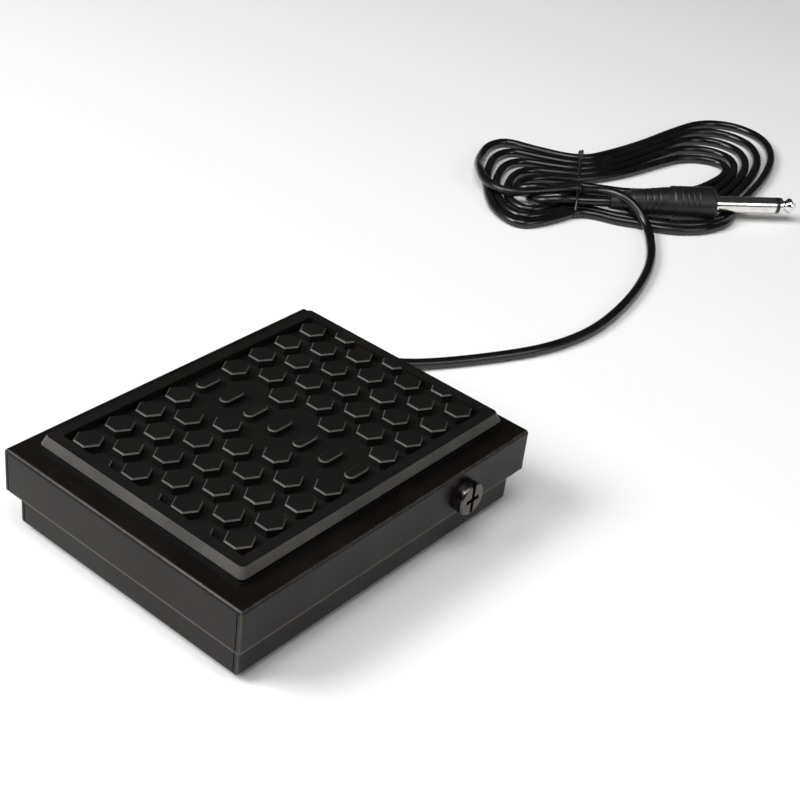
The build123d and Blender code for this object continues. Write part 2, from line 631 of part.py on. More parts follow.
def switch_body():
    """The switch's case with lever lugs, a lever pin and two screw holes."""
    x0, x1 = SWITCH_X - SWITCH_WIDTH / 2, SWITCH_X + SWITCH_WIDTH / 2
    y0, y1 = SWITCH_Y - SWITCH_LENGTH / 2, SWITCH_Y + SWITCH_LENGTH / 2
    case = block(x0, x1, y0, y1, SWITCH_BOTTOM, SWITCH_TOP)
    case = chamfer(case.edges().filter_by(Axis.Z), SWITCH_EDGE)
    lug_in = LEVER_WIDTH / 2 + LUG_GAP
    for sign in (-1, 1):
        lug_x0, lug_x1 = sorted((SWITCH_X + sign * lug_in, SWITCH_X + sign * SWITCH_WIDTH / 2))
        case += block(lug_x0, lug_x1, HINGE_Y - LUG_BEHIND, HINGE_Y + LUG_AHEAD,
                      SWITCH_TOP - LUG_ROOT, HINGE_Z + LUG_BEHIND)
    knuckle_space = LEVER_KNUCKLE + 2 * SIDE_CLEARANCE
    case -= rod_x(SWITCH_X - lug_in, SWITCH_X + lug_in, HINGE_Y, HINGE_Z, knuckle_space)
    case += rod_x(x0 + SWITCH_EDGE, x1 - SWITCH_EDGE, HINGE_Y, HINGE_Z, LEVER_PIN)
    plunger_y = HINGE_Y - PLUNGER_FROM_HINGE
    half_x, half_y = PLUNGER_WIDTH / 2 + RUN_CLEARANCE, PLUNGER_LENGTH / 2 + RUN_CLEARANCE
    case -= block(SWITCH_X - half_x, SWITCH_X + half_x, plunger_y - half_y, plunger_y + half_y,
                  SWITCH_TOP - PLUNGER_POCKET, SWITCH_TOP + CUT_PAST)
    for y, z in switch_hole_places():
        case -= rod_x(x0 - CUT_PAST, x1 + CUT_PAST, y, z, SWITCH_SCREW + 2 * FIT_CLEARANCE)
    return case


def switch_hole_places():
    """Where the switch's two screws pass, as Y and Z."""
    z = SWITCH_BOTTOM + SWITCH_HOLE_RISE
    return [(SWITCH_Y + sign * SWITCH_HOLE_SPACING / 2, z) for sign in (-1, 1)]


def switch_plunger():
    """The button that the lever pushes into the switch."""
    plunger_y = HINGE_Y - PLUNGER_FROM_HINGE
    half_x, half_y = PLUNGER_WIDTH / 2, PLUNGER_LENGTH / 2
    plunger = block(SWITCH_X - half_x, SWITCH_X + half_x, plunger_y - half_y, plunger_y + half_y,
                    SWITCH_TOP - PLUNGER_IN_CASE, SWITCH_TOP + PLUNGER_RISE)
    return fillet(plunger.edges().filter_by(Axis.X).group_by(Axis.Z)[-1], PLUNGER_EDGE)


def switch_lever():
    """The sprung lever: a strip that rises from its pin over the button to the nose."""
    strip = block(-LEVER_WIDTH / 2, LEVER_WIDTH / 2, -LEVER_LENGTH, 0, -LEVER_THICK / 2, LEVER_THICK / 2)
    knuckle = rod_x(-LEVER_WIDTH / 2, LEVER_WIDTH / 2, 0, 0, LEVER_KNUCKLE)
    lever = strip + knuckle
    lever -= rod_x(-LEVER_WIDTH, LEVER_WIDTH, 0, 0, LEVER_PIN + 2 * RUN_CLEARANCE)
    return Location((SWITCH_X, HINGE_Y, HINGE_Z), (-LEVER_RISE_DEG, 0, 0)) * lever


def switch_terminals():
    """Three flat tabs under the switch."""
    tabs = []
    half_x, half_y = TERMINAL_THICK / 2, TERMINAL_WIDTH / 2
    low = SWITCH_BOTTOM - TERMINAL_DROP
    for step in (-1, 0, 1):
        y = SWITCH_Y + step * TERMINAL_PITCH
        tabs.append(block(SWITCH_X - half_x, SWITCH_X + half_x, y - half_y, y + half_y, low, SWITCH_BOTTOM))
    return Compound(children=tabs)


def switch_bracket():
    """The bent bracket that stands the switch on the base."""
    x0 = SWITCH_X + SWITCH_WIDTH / 2
    y0, y1 = SWITCH_Y - BRACKET_LENGTH / 2, SWITCH_Y + BRACKET_LENGTH / 2
    bracket = block(x0, x0 + BRACKET_THICK, y0, y1, BASE_FLOOR, SWITCH_TOP - BRACKET_BELOW_TOP)
    bracket += block(x0, x0 + BRACKET_THICK + BRACKET_FOOT, y0, y1, BASE_FLOOR, BASE_FLOOR + BRACKET_THICK)
    past = BRACKET_THICK + CUT_PAST
    for y, z in switch_hole_places():
        bracket -= rod_x(x0 - CUT_PAST, x0 + past, y, z, SWITCH_SCREW + 2 * FIT_CLEARANCE)
    for x, y in bracket_rivet_places():
        bracket -= rod_z(x, y, BASE_FLOOR - CUT_PAST, BASE_FLOOR + past, RIVET_DIAMETER + 2 * FIT_CLEARANCE)
    return bracket


def bracket_rivets():
    """Rivets through the bracket's foot and the base."""
    rivets = []
    top = BASE_FLOOR + BRACKET_THICK
    for x, y in bracket_rivet_places():
        rivet = rod_z(x, y, FOOT_HEIGHT - RIVET_TAIL_THICK, top, RIVET_DIAMETER)
        rivet += rod_z(x, y, top, top + RIVET_HEAD_THICK, RIVET_HEAD)
        rivet += rod_z(x, y, FOOT_HEIGHT - RIVET_TAIL_THICK, FOOT_HEIGHT, RIVET_TAIL)
        rivets.append(rivet)
    return Compound(children=rivets)


def switch_screws():
    """Small screws through the switch and its bracket."""
    screws = []
    x_head = SWITCH_X - SWITCH_WIDTH / 2
    x_face = x_head - SWITCH_SCREW_HEAD_THICK
    x_end = SWITCH_X + SWITCH_WIDTH / 2 + BRACKET_THICK + SWITCH_NUT_THICK + SWITCH_SCREW_PROUD
    slot = SWITCH_SCREW_SLOT / 2
    for y, z in switch_hole_places():
        screw = rod_x(x_head, x_end, y, z, SWITCH_SCREW) + rod_x(x_face, x_head, y, z, SWITCH_SCREW_HEAD)
        half = SWITCH_SCREW_HEAD / 2
        screws.append(screw - block(x_face - slot, x_face + slot, y - half, y + half, z - slot, z + slot))
    return Compound(children=screws)


def switch_nuts():
    """Nuts on the switch screws."""
    nuts = []
    x = SWITCH_X + SWITCH_WIDTH / 2 + BRACKET_THICK
    for y, z in switch_hole_places():
        outline = RegularPolygon(SWITCH_NUT_FLATS / math.sqrt(3), 6)
        nut = Location((x, y, z), (0, 90, 0)) * extrude(outline, SWITCH_NUT_THICK)
        past = x + SWITCH_NUT_THICK + CUT_PAST
        nuts.append(nut - rod_x(x - CUT_PAST, past, y, z, SWITCH_SCREW + 2 * FIT_CLEARANCE))
    return Compound(children=nuts)


def down_stop_buffers():
    """Rubber buffers under the lid's front that end its travel, with snap stems."""
    buffers = []
    for x, y in buffer_places():
        arm = PIVOT_Y - y + BUFFER_DIAMETER / 2
        lid_at_limit = PIVOT_Z + (LID_UNDER - PIVOT_Z) * math.cos(TRAVEL) - arm * math.sin(TRAVEL)
        top = lid_at_limit - STOP_CLEARANCE
        rubber = rod_z(x, y, BASE_FLOOR, top, BUFFER_DIAMETER)
        rubber = fillet(rubber.edges().sort_by(Axis.Z)[-1], BUFFER_EDGE)
        buffers.append(rubber + snap_stem(x, y))
    return Compound(children=buffers)


# ---------------------------------------------------------------- lead inside the base
def cord_grommet():
    """The moulded grommet in the rear wall with a tapered nose round the lead."""
    wall_in, wall_out = BASE_Y - SHEET, BASE_Y
    x, z = CORD_EXIT_X, CORD_EXIT_Z
    grip = wall_in - GLAND_GRIP_THICK
    body = rod_y(x, grip, wall_out + GLAND_FLANGE_THICK, z, GLAND_NECK)
    body += rod_y(x, wall_out, wall_out + GLAND_FLANGE_THICK, z, GLAND_FLANGE)
    body += rod_y(x, grip, wall_in, z, GLAND_FLANGE)
    nose = Plane(origin=(x, wall_out + GLAND_FLANGE_THICK, z), z_dir=(0, 1, 0))
    tip = Plane(origin=(x, GLAND_NOSE_Y, z), z_dir=(0, 1, 0))
    body += loft([nose * Circle(GLAND_NECK / 2), tip * Circle(GLAND_NOSE_TIP / 2)])
    body -= rod_y(x, grip - CUT_PAST, wall_in + GLAND_SOCKET_DEPTH, z, CORD_DIAMETER + 2 * FIT_CLEARANCE)
    return body


def cable_end_x():
    """Where the cable's jacket ends, short of the switch."""
    return SWITCH_X - CABLE_END_FROM_SWITCH


def inner_cable():
    """The lead's tail inside the base, from the grommet past the clamp."""
    x, end_x = CORD_EXIT_X, cable_end_x()
    past_clamp = CLAMP_Y - CLAMP_LENGTH - 5.0
    route = [
        (x, BASE_Y - SHEET + GLAND_SOCKET_DEPTH, CORD_EXIT_Z),
        (x, BASE_Y - 11.0, CORD_EXIT_Z),
        (x, BASE_Y - 20.0, CABLE_Z),
        (x, past_clamp, CABLE_Z),
        (x + 0.2 * (end_x - x), SWITCH_Y + 0.25 * (past_clamp - SWITCH_Y), CABLE_Z),
        (x + 0.62 * (end_x - x), SWITCH_Y, CABLE_Z),
        (end_x, SWITCH_Y, CABLE_Z),
    ]
    return tube_along(route, CORD_DIAMETER, "inner_cable")


def inner_wires():
    """Two wires from the cable's end to the outer switch terminals."""
    wires = []
    start_x, end_x = cable_end_x(), SWITCH_X - TERMINAL_THICK / 2
    z1 = SWITCH_BOTTOM - TERMINAL_DROP + WIRE_DIAMETER
    for sign in (-1, 1):
        y0 = SWITCH_Y + sign * WIRE_SPLIT
        y1 = SWITCH_Y + sign * TERMINAL_PITCH
        bend_x, drop_x = start_x + 0.3 * (end_x - start_x), start_x + 0.7 * (end_x - start_x)
        route = [(start_x, y0, CABLE_Z), (bend_x, y0, CABLE_Z), (drop_x, y1, z1), (end_x, y1, z1)]
        wires.append(tube_along(route, WIRE_DIAMETER, "inner_wire"))
    return Compound(children=wires)


def cable_clamp():
    """A saddle over the cable, with a foot each side."""
    x, r = CORD_EXIT_X, CORD_DIAMETER / 2 + FIT_CLEARANCE
    y0, y1 = CLAMP_Y - CLAMP_LENGTH / 2, CLAMP_Y + CLAMP_LENGTH / 2
    outer = r + CLAMP_THICK
    saddle = rod_y(x, y0, y1, CABLE_Z, 2 * outer)
    saddle += block(x - outer, x + outer, y0, y1, BASE_FLOOR, CABLE_Z)
    y_front, y_back = y0 - CUT_PAST, y1 + CUT_PAST
    saddle -= block(x - outer, x + outer, y_front, y_back, CABLE_Z - outer, BASE_FLOOR)
    half = outer + CLAMP_FOOT
    saddle += block(x - half, x + half, y0, y1, BASE_FLOOR, BASE_FLOOR + CLAMP_THICK)
    saddle -= rod_y(x, y_front, y_back, CABLE_Z, 2 * r)
    saddle -= block(x - r, x + r, y_front, y_back, BASE_FLOOR - CUT_PAST, CABLE_Z)
    top = BASE_FLOOR + CLAMP_THICK + CUT_PAST
    for sx, sy in clamp_screw_places():
        saddle -= rod_z(sx, sy, BASE_FLOOR - CUT_PAST, top, CLAMP_SCREW + 2 * FIT_CLEARANCE)
    return saddle


def clamp_screws():
    """Screws that hold the cable clamp to the base."""
    screws = []
    top = BASE_FLOOR + CLAMP_THICK
    for x, y in clamp_screw_places():
        head_top = top + CLAMP_SCREW_HEAD_THICK
        screw = rod_z(x, y, FOOT_HEIGHT - CLAMP_SCREW_PROUD, top, CLAMP_SCREW)
        screw += rod_z(x, y, top, head_top, CLAMP_SCREW_HEAD)
        half, slot = CLAMP_SCREW_HEAD / 2, CLAMP_SCREW_SLOT / 2
        slot_floor = head_top - CLAMP_SCREW_HEAD_THICK / 2
        cut = block(x - half, x + half, y - slot, y + slot, slot_floor, head_top + CUT_PAST)
        screws.append(screw - cut)
    return Compound(children=screws)


# ---------------------------------------------------------------- lead outside, hank and plug
def plug_frame(height=0.0):
    """A place on the plug's axis at the handle's front, with local X towards the tip."""
    return Location((PLUG_FRONT_X, PLUG_FRONT_Y, height), (0, 0, PLUG_ANGLE))


def turned(profile):
    """A body of revolution on the plug's axis from (distance, radius) corners."""
    points = [(profile[0][0], 0)] + list(profile) + [(profile[-1][0], 0)]
    face = make_face(Polyline(*points, close=True))
    return plug_frame(PLUG_AXIS_Z) * revolve(face, Axis.X)


def plug_handle():
    """The moulded handle: a grooved tail that widens to a round grip with four grooves."""
    full = PLUG_HANDLE_DIAMETER / 2
    length = PLUG_HANDLE_LENGTH
    profile = [
        (-length, HANDLE_TAIL / 2),
        (-length + HANDLE_NECK_FROM_TAIL, HANDLE_NECK / 2),
        (-HANDLE_TAPER_END, full - HANDLE_STEP),
        (-HANDLE_STEP_BACK, full),
        (0, full),
    ]
    handle = turned(profile)
    edge = handle.edges().filter_by(GeomType.CIRCLE).sort_by(Axis(Vector(0, 0, 0), plug_direction()))[-1]
    handle = fillet(edge, HANDLE_EDGE)
    for back in TAIL_GROOVES + GRIP_GROOVES:
        floor = handle_radius(back - GROOVE_WIDTH / 2) - GROOVE_DEPTH
        ring = turned([(-back, full + CUT_PAST), (GROOVE_WIDTH - back, full + CUT_PAST)])
        handle -= ring - turned([(-back - CUT_PAST, floor), (GROOVE_WIDTH + CUT_PAST - back, floor)])
    return handle


def handle_radius(back):
    """The handle's radius at a distance behind its front, on the taper or the round grip."""
    full = PLUG_HANDLE_DIAMETER / 2
    if back < HANDLE_STEP_BACK:
        return full
    taper_start = PLUG_HANDLE_LENGTH - HANDLE_NECK_FROM_TAIL
    share = (taper_start - back) / (taper_start - HANDLE_TAPER_END)
    return HANDLE_NECK / 2 + share * (full - HANDLE_STEP - HANDLE_NECK / 2)


def plug_direction():
    """Unit vector along the plug towards its tip."""
    angle = math.radians(PLUG_ANGLE)
    return Vector(math.cos(angle), math.sin(angle), 0)


def plug_sleeve():
    """The plug's collar and sleeve contact."""
    r, collar = PLUG_SHAFT / 2, PLUG_COLLAR / 2
    return turned([(0, collar), (PLUG_COLLAR_LENGTH, collar), (PLUG_COLLAR_LENGTH, r), (PLUG_SHAFT_LENGTH, r)])


def plug_insulator():
    """The black ring between the sleeve and the tip contact."""
    r = PLUG_SHAFT / 2
    return turned([(PLUG_SHAFT_LENGTH, r), (PLUG_SHAFT_LENGTH + PLUG_INSULATOR_LENGTH, r)])


def plug_tip():
    """The tip contact: a shoulder, a waist and a pointed ball."""
    s = PLUG_SHAFT_LENGTH + PLUG_INSULATOR_LENGTH
    r = PLUG_SHAFT / 2
    profile = [
        (s, r),
        (s + TIP_SHOULDER_AT, r),
        (s + TIP_WAIST_AT, TIP_WAIST / 2),
        (s + TIP_WAIST_AT + TIP_WAIST_LENGTH, TIP_WAIST / 2),
        (s + TIP_BALL_AT, TIP_BALL / 2),
        (s + TIP_BALL_AT + TIP_BALL_LENGTH, TIP_BALL / 2),
        (s + TIP_LENGTH - TIP_ROUND, TIP_END),
        (s + TIP_LENGTH, TIP_END / 2),
    ]
    return turned(profile)


def cord():
    """The lead from the gland's nose along the ground to the hank."""
    return tube_along(LEAD_ROUTE, CORD_DIAMETER, "cord")


def lead_end_pocket():
    """The space in the hank's edge where the lead runs in, with a flat end across the lead."""
    end = Vector(*LEAD_ROUTE[-1])
    towards = (end - Vector(*LEAD_ROUTE[-2])).normalized()
    plane = Plane(origin=end - towards * POCKET_DEPTH, z_dir=towards)
    return extrude(plane * Rectangle(POCKET_WIDTH, POCKET_WIDTH), POCKET_DEPTH)


def cord_hank():
    """The outer shape of the tied hank, open where the plug lies and where the lead runs in."""
    base_line = Spline(*[(x, y, 0) for x, y in HANK_OUTLINE], periodic=True)
    hank = extrude(make_face(base_line), HANK_HEIGHT)
    full = PLUG_HANDLE_DIAMETER / 2 + SIDE_CLEARANCE
    top = HANK_HEIGHT + CUT_PAST
    hank -= plug_frame() * block(-PLUG_HANDLE_LENGTH, CUT_PAST, -full, full, -CUT_PAST, top)
    shaft_low = PLUG_AXIS_Z - PLUG_COLLAR / 2 - SIDE_CLEARANCE
    shaft_half = PLUG_COLLAR / 2 + SIDE_CLEARANCE
    hank -= plug_frame() * block(0, 2 * PLUG_SHAFT_LENGTH, -shaft_half, shaft_half, shaft_low, top)
    hank -= lead_end_pocket()
    half = TIE_WIRE / 2 + SIDE_CLEARANCE
    hank -= tie_frame() * block(-half, half, -TIE_SPAN, TIE_SPAN, -CUT_PAST, TIE_WIRE + SIDE_CLEARANCE)
    return hank


def tie_frame():
    """The tie's place, with local X along the hank and local Y across it."""
    return Location((TIE_CENTRE[0], TIE_CENTRE[1], 0), (0, 0, TIE_ANGLE))


def cord_tie():
    """A closed wire round the middle of the hank."""
    r = TIE_WIRE / 2
    half = TIE_SPAN / 2
    low, high = r, HANK_HEIGHT + r
    corners = [(0, -half, low), (0, half, low), (0, half, high), (0, -half, high)]
    path = FilletPolyline(*corners, radius=TIE_CORNER, close=True)
    start = Plane(origin=(0, 0, low), z_dir=(0, 1, 0))
    return tie_frame() * sweep(start * Circle(r), path=path)


PARTS = {
    "lid": lid,
    "tread_pad": tread_pad,
    "pivot_bushes": pivot_bushes,
    "spring_cap": spring_cap,
    "switch_actuator": switch_actuator,
    "stop_hook": stop_hook,
    "base_tray": base_tray,
    "rubber_feet": rubber_feet,
    "pivot_screws": pivot_screws,
    "pivot_spacers": pivot_spacers,
    "pivot_nuts": pivot_nuts,
    "spring_seat": spring_seat,
    "return_spring": return_spring,
    "switch_body": switch_body,
    "switch_plunger": switch_plunger,
    "switch_lever": switch_lever,
    "switch_terminals": switch_terminals,
    "switch_bracket": switch_bracket,
    "bracket_rivets": bracket_rivets,
    "switch_screws": switch_screws,
    "switch_nuts": switch_nuts,
    "down_stop_buffers": down_stop_buffers,
    "cord_grommet": cord_grommet,
    "inner_cable": inner_cable,
    "inner_wires": inner_wires,
    "cable_clamp": cable_clamp,
    "clamp_screws": clamp_screws,
    "cord": cord,
    "cord_hank": cord_hank,
    "cord_tie": cord_tie,
    "plug_handle": plug_handle,
    "plug_sleeve": plug_sleeve,
    "plug_insulator": plug_insulator,
    "plug_tip": plug_tip,
}

os.makedirs("parts", exist_ok=True)
for name, make in PARTS.items():
    export_step(make(), f"parts/{name}.step")
print("lever degrees per lid degree", round(LEVER_RATIO, 5))
print("plunger millimetres per lid radian", round(PLUNGER_RATIO, 4))
print("hinge of the lever at", round(HINGE_Y, 3), round(HINGE_Z, 3), "pivot at", PIVOT_Y, round(PIVOT_Z, 3))
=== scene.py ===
"""Visual model of a flat sustain pedal with a studded rubber tread, a tied lead and a jack plug.

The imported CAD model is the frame. Hard parts and the moulded tread keep their CAD meshes and
get finishes here. The lead, its tie and the plug's handle are built here and take the places of
their CAD stand-ins. Lengths are metres; MM turns millimetres into metres.
"""

import json
import logging
import math
from dataclasses import dataclass
from enum import Enum
from typing import ClassVar

import bpy
import numpy as np
from mathutils import Matrix, Vector

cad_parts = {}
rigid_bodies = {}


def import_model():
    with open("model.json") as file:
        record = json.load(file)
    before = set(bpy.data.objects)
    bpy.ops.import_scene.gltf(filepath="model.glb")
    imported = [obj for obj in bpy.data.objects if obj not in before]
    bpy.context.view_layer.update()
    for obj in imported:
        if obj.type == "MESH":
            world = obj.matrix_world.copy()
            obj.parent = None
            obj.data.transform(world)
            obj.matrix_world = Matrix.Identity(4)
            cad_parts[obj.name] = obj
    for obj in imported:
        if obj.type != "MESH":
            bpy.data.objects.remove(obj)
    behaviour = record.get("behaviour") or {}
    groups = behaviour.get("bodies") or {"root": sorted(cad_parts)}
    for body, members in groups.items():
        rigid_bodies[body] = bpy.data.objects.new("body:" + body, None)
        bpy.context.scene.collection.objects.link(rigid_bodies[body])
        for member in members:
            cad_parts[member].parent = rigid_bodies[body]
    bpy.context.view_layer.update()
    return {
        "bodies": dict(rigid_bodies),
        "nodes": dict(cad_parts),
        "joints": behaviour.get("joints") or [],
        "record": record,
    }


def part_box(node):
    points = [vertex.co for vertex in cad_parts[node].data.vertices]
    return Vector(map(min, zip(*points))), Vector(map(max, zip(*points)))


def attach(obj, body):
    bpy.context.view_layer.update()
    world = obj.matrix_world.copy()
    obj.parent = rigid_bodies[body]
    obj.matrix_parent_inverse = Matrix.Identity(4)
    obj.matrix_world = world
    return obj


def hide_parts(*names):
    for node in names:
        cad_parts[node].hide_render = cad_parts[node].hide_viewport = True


MM = 0.001
Colour = tuple[float, float, float]
Point = tuple[float, float, float]
AXIS_PAIRS = ((0, 1), (0, 2), (1, 2))
RAGGED_SIZE = 1.6 * MM
RAGGED_SHARE = 0.6
log = logging.getLogger("pedal")


class Body(str, Enum):
    """The body of the frame that the pieces of this script ride on."""

    BASE = "base"


class Slot(str, Enum):
    """Material slots of the record named like pieces of this script; nothing here reads them."""

    JACKET = "cord_jacket"
    TIE = "tie_coating"
    HANDLE = "plug_moulding"


# ---------------------------------------------------------------- node boards
class NodeBoard:
    """A material's node tree, with a short method for each node that the finishes use."""

    def __init__(self, name: str) -> None:
        """Starts a material that holds one Principled shader.

        Args:
            name: The material's name.
        """
        self.material = bpy.data.materials.new(name)
        self.material.use_nodes = True
        self.tree = self.material.node_tree
        self.tree.nodes.clear()
        self.shader = self.add("ShaderNodeBsdfPrincipled")
        output = self.add("ShaderNodeOutputMaterial")
        self.tree.links.new(self.shader.outputs["BSDF"], output.inputs["Surface"])
        self.place = self.add("ShaderNodeTexCoord").outputs["Object"]

    def add(self, kind: str, **settings: object) -> bpy.types.Node:
        """Adds a node and gives it settings.

        Args:
            kind: The node's type name.
            **settings: Attributes to set on the node.

        Returns:
            The new node.
        """
        node = self.tree.nodes.new(kind)
        for name, value in settings.items():
            setattr(node, name, value)
        return node

    def put(self, socket: bpy.types.NodeSocket, value: object) -> None:
        """Feeds an input from another socket, or sets it to a plain value.

        Args:
            socket: The input to feed.
            value: A socket, a number or a tuple.
        """
        if isinstance(value, bpy.types.NodeSocket):
            self.tree.links.new(value, socket)
        elif isinstance(value, tuple) and socket.type == "RGBA":
            socket.default_value = (*value, 1.0)
        else:
            socket.default_value = value

    def shine(self, **values: object) -> None:
        """Sets the shader's inputs, with underscores in place of the spaces in their names."""
        for name, value in values.items():
            self.put(self.shader.inputs[name.replace("_", " ")], value)

    def stretched(self, share: Point) -> bpy.types.NodeSocket:
        """The place of a point with each axis multiplied by its share."""
        node = self.add("ShaderNodeMapping")
        self.put(node.inputs["Vector"], self.place)
        node.inputs["Scale"].default_value = share
        return node.outputs["Vector"]

    def noise(
        self, size: float, detail: float = 3.0, place: bpy.types.NodeSocket | None = None
    ) -> bpy.types.NodeSocket:
        """Soft noise from 0 to 1.

        Args:
            size: The width of its blotches in metres.
            detail: How many finer layers it has.
            place: Where it is read, if not at the plain object coordinates.

        Returns:
            The noise's value.
        """
        node = self.add("ShaderNodeTexNoise")
        self.put(node.inputs["Vector"], place or self.place)
        node.inputs["Scale"].default_value = 1.0 / size
        node.inputs["Detail"].default_value = detail
        return node.outputs["Fac"]

    def pits(self, size: float) -> bpy.types.NodeSocket:
        """Distance to the nearest of many scattered dots, about one dot each size metres."""
        node = self.add("ShaderNodeTexVoronoi")
        self.put(node.inputs["Vector"], self.place)
        node.inputs["Scale"].default_value = 1.0 / size
        return node.outputs["Distance"]

    def maths(self, operation: str, a: object, b: object = 0.0) -> bpy.types.NodeSocket:
        """One arithmetic step on two values."""
        node = self.add("ShaderNodeMath", operation=operation)
        self.put(node.inputs[0], a)
        self.put(node.inputs[1], b)
        return node.outputs[0]

    def span(
        self, value: object, low: float, high: float, to_low: float = 0.0, to_high: float = 1.0
    ) -> bpy.types.NodeSocket:
        """Carries low..high over to to_low..to_high, smoothly and without passing the ends."""
        node = self.add("ShaderNodeMapRange", interpolation_type="SMOOTHSTEP")
        for socket, entry in zip(node.inputs, (value, low, high, to_low, to_high)):
            self.put(socket, entry)
        return node.outputs["Result"]

    def blend(self, share: object, a: object, b: object) -> bpy.types.NodeSocket:
        """The colour a where share is 0 and b where it is 1."""
        node = self.add("ShaderNodeMix", data_type="RGBA")
        self.put(node.inputs[0], share)
        self.put(node.inputs[6], a)
        self.put(node.inputs[7], b)
        return node.outputs[2]

    def bump(
        self, height: object, depth: float, under: bpy.types.NodeSocket | None = None
    ) -> bpy.types.NodeSocket:
        """A bumped normal.

        Args:
            height: The relief, 0 to 1.
            depth: How deep 1 is, in metres.
            under: A bumped normal that this one is laid on.

        Returns:
            The normal.
        """
        node = self.add("ShaderNodeBump")
        node.inputs["Distance"].default_value = depth
        self.put(node.inputs["Height"], height)
        if under is not None:
            self.put(node.inputs["Normal"], under)
        return node.outputs["Normal"]

    def upward(self) -> bpy.types.NodeSocket:
        """1 on faces that look up, 0 on upright ones and those that look down."""
        parts = self.add("ShaderNodeSeparateXYZ")
        self.put(parts.inputs[0], self.add("ShaderNodeNewGeometry").outputs["Normal"])
        return self.span(parts.outputs["Z"], 0.2, 0.95)

    def sloping(self) -> bpy.types.NodeSocket:
        """1 on faces that slope, such as bevels, and 0 on level and on upright ones."""
        parts = self.add("ShaderNodeSeparateXYZ")
        self.put(parts.inputs[0], self.add("ShaderNodeNewGeometry").outputs["Normal"])
        rise = self.span(parts.outputs["Z"], 0.12, 0.40)
        fall = self.span(parts.outputs["Z"], 0.86, 0.985, 1.0, 0.0)
        return self.maths("MULTIPLY", rise, fall)

    def edge_of_box(self, low: Point, high: Point, reach: float) -> bpy.types.NodeSocket:
        """Marks the edges of an upright box.

        A point's gap to a side is half the box less its distance from the middle. Near an edge
        two gaps are small, so the mark grows as the middle one of the three gaps shrinks.

        Args:
            low: The box's lowest corner.
            high: Its highest corner.
            reach: How far from an edge the mark fades out.

        Returns:
            1 on an edge and 0 beyond reach.
        """
        centre = [(a + b) / 2 for a, b in zip(low, high)]
        half = [(b - a) / 2 for a, b in zip(low, high)]
        parts = self.add("ShaderNodeSeparateXYZ")
        self.put(parts.inputs[0], self.place)
        gaps = []
        for axis in range(3):
            off = self.maths("ABSOLUTE", self.maths("SUBTRACT", parts.outputs[axis], centre[axis]))
            gaps.append(self.maths("SUBTRACT", half[axis], off))
        pairs = [self.maths("MAXIMUM", gaps[a], gaps[b]) for a, b in AXIS_PAIRS]
        nearest = self.maths("MINIMUM", self.maths("MINIMUM", pairs[0], pairs[1]), pairs[2])
        ragged = self.maths("MULTIPLY", self.noise(RAGGED_SIZE), RAGGED_SHARE * reach)
        near, far = RAGGED_SHARE / 2 * reach, (1.0 + RAGGED_SHARE / 2) * reach
        return self.span(self.maths("ADD", nearest, ragged), near, far, 1.0, 0.0)


# ---------------------------------------------------------------- finishes
@dataclass(frozen=True)
class PowderCoat:
    """Satin powder coat on folded steel: orange peel, a little dust, and paler folds painted as
    wear and as a highlight.
    """

    name: str
    low: Point
    high: Point
    colour: Colour = (0.0044, 0.0029, 0.0022)
    fold_wear_and_highlight: Colour = (0.16, 0.13, 0.105)
    dust: Colour = (0.016, 0.014, 0.012)
    dust_share: float = 0.22
    fold_wear_and_highlight_share: float = 0.55
    edge_reach: float = 0.8 * MM
    roughness: float = 0.36
    gloss: float = 0.20
    cloud_size: float = 22 * MM
    peel_size: float = 0.9 * MM
    peel_depth: float = 0.022 * MM

    def make(self) -> bpy.types.Material:
        """Builds the finish."""
        board = NodeBoard(self.name)
        cloud = board.noise(self.cloud_size, 4)
        peel = board.noise(self.peel_size, 2)
        # The folds are painted paler: partly wear, partly a painted highlight where the folded
        # edges catch the light.
        edge = board.edge_of_box(self.low, self.high, self.edge_reach)
        film = board.maths("MULTIPLY", board.span(cloud, 0.42, 0.72), board.upward())
        tone = board.blend(board.maths("MULTIPLY", film, self.dust_share), self.colour, self.dust)
        tone = board.blend(board.maths("MULTIPLY", edge, self.fold_wear_and_highlight_share), tone, self.fold_wear_and_highlight)
        rough = board.span(cloud, 0.3, 0.7, self.roughness - 0.04, self.roughness + 0.06)
        normal = board.bump(peel, self.peel_depth)
        board.shine(Base_Color=tone, Roughness=rough, Normal=normal, Specular_IOR_Level=self.gloss)
        return board.material


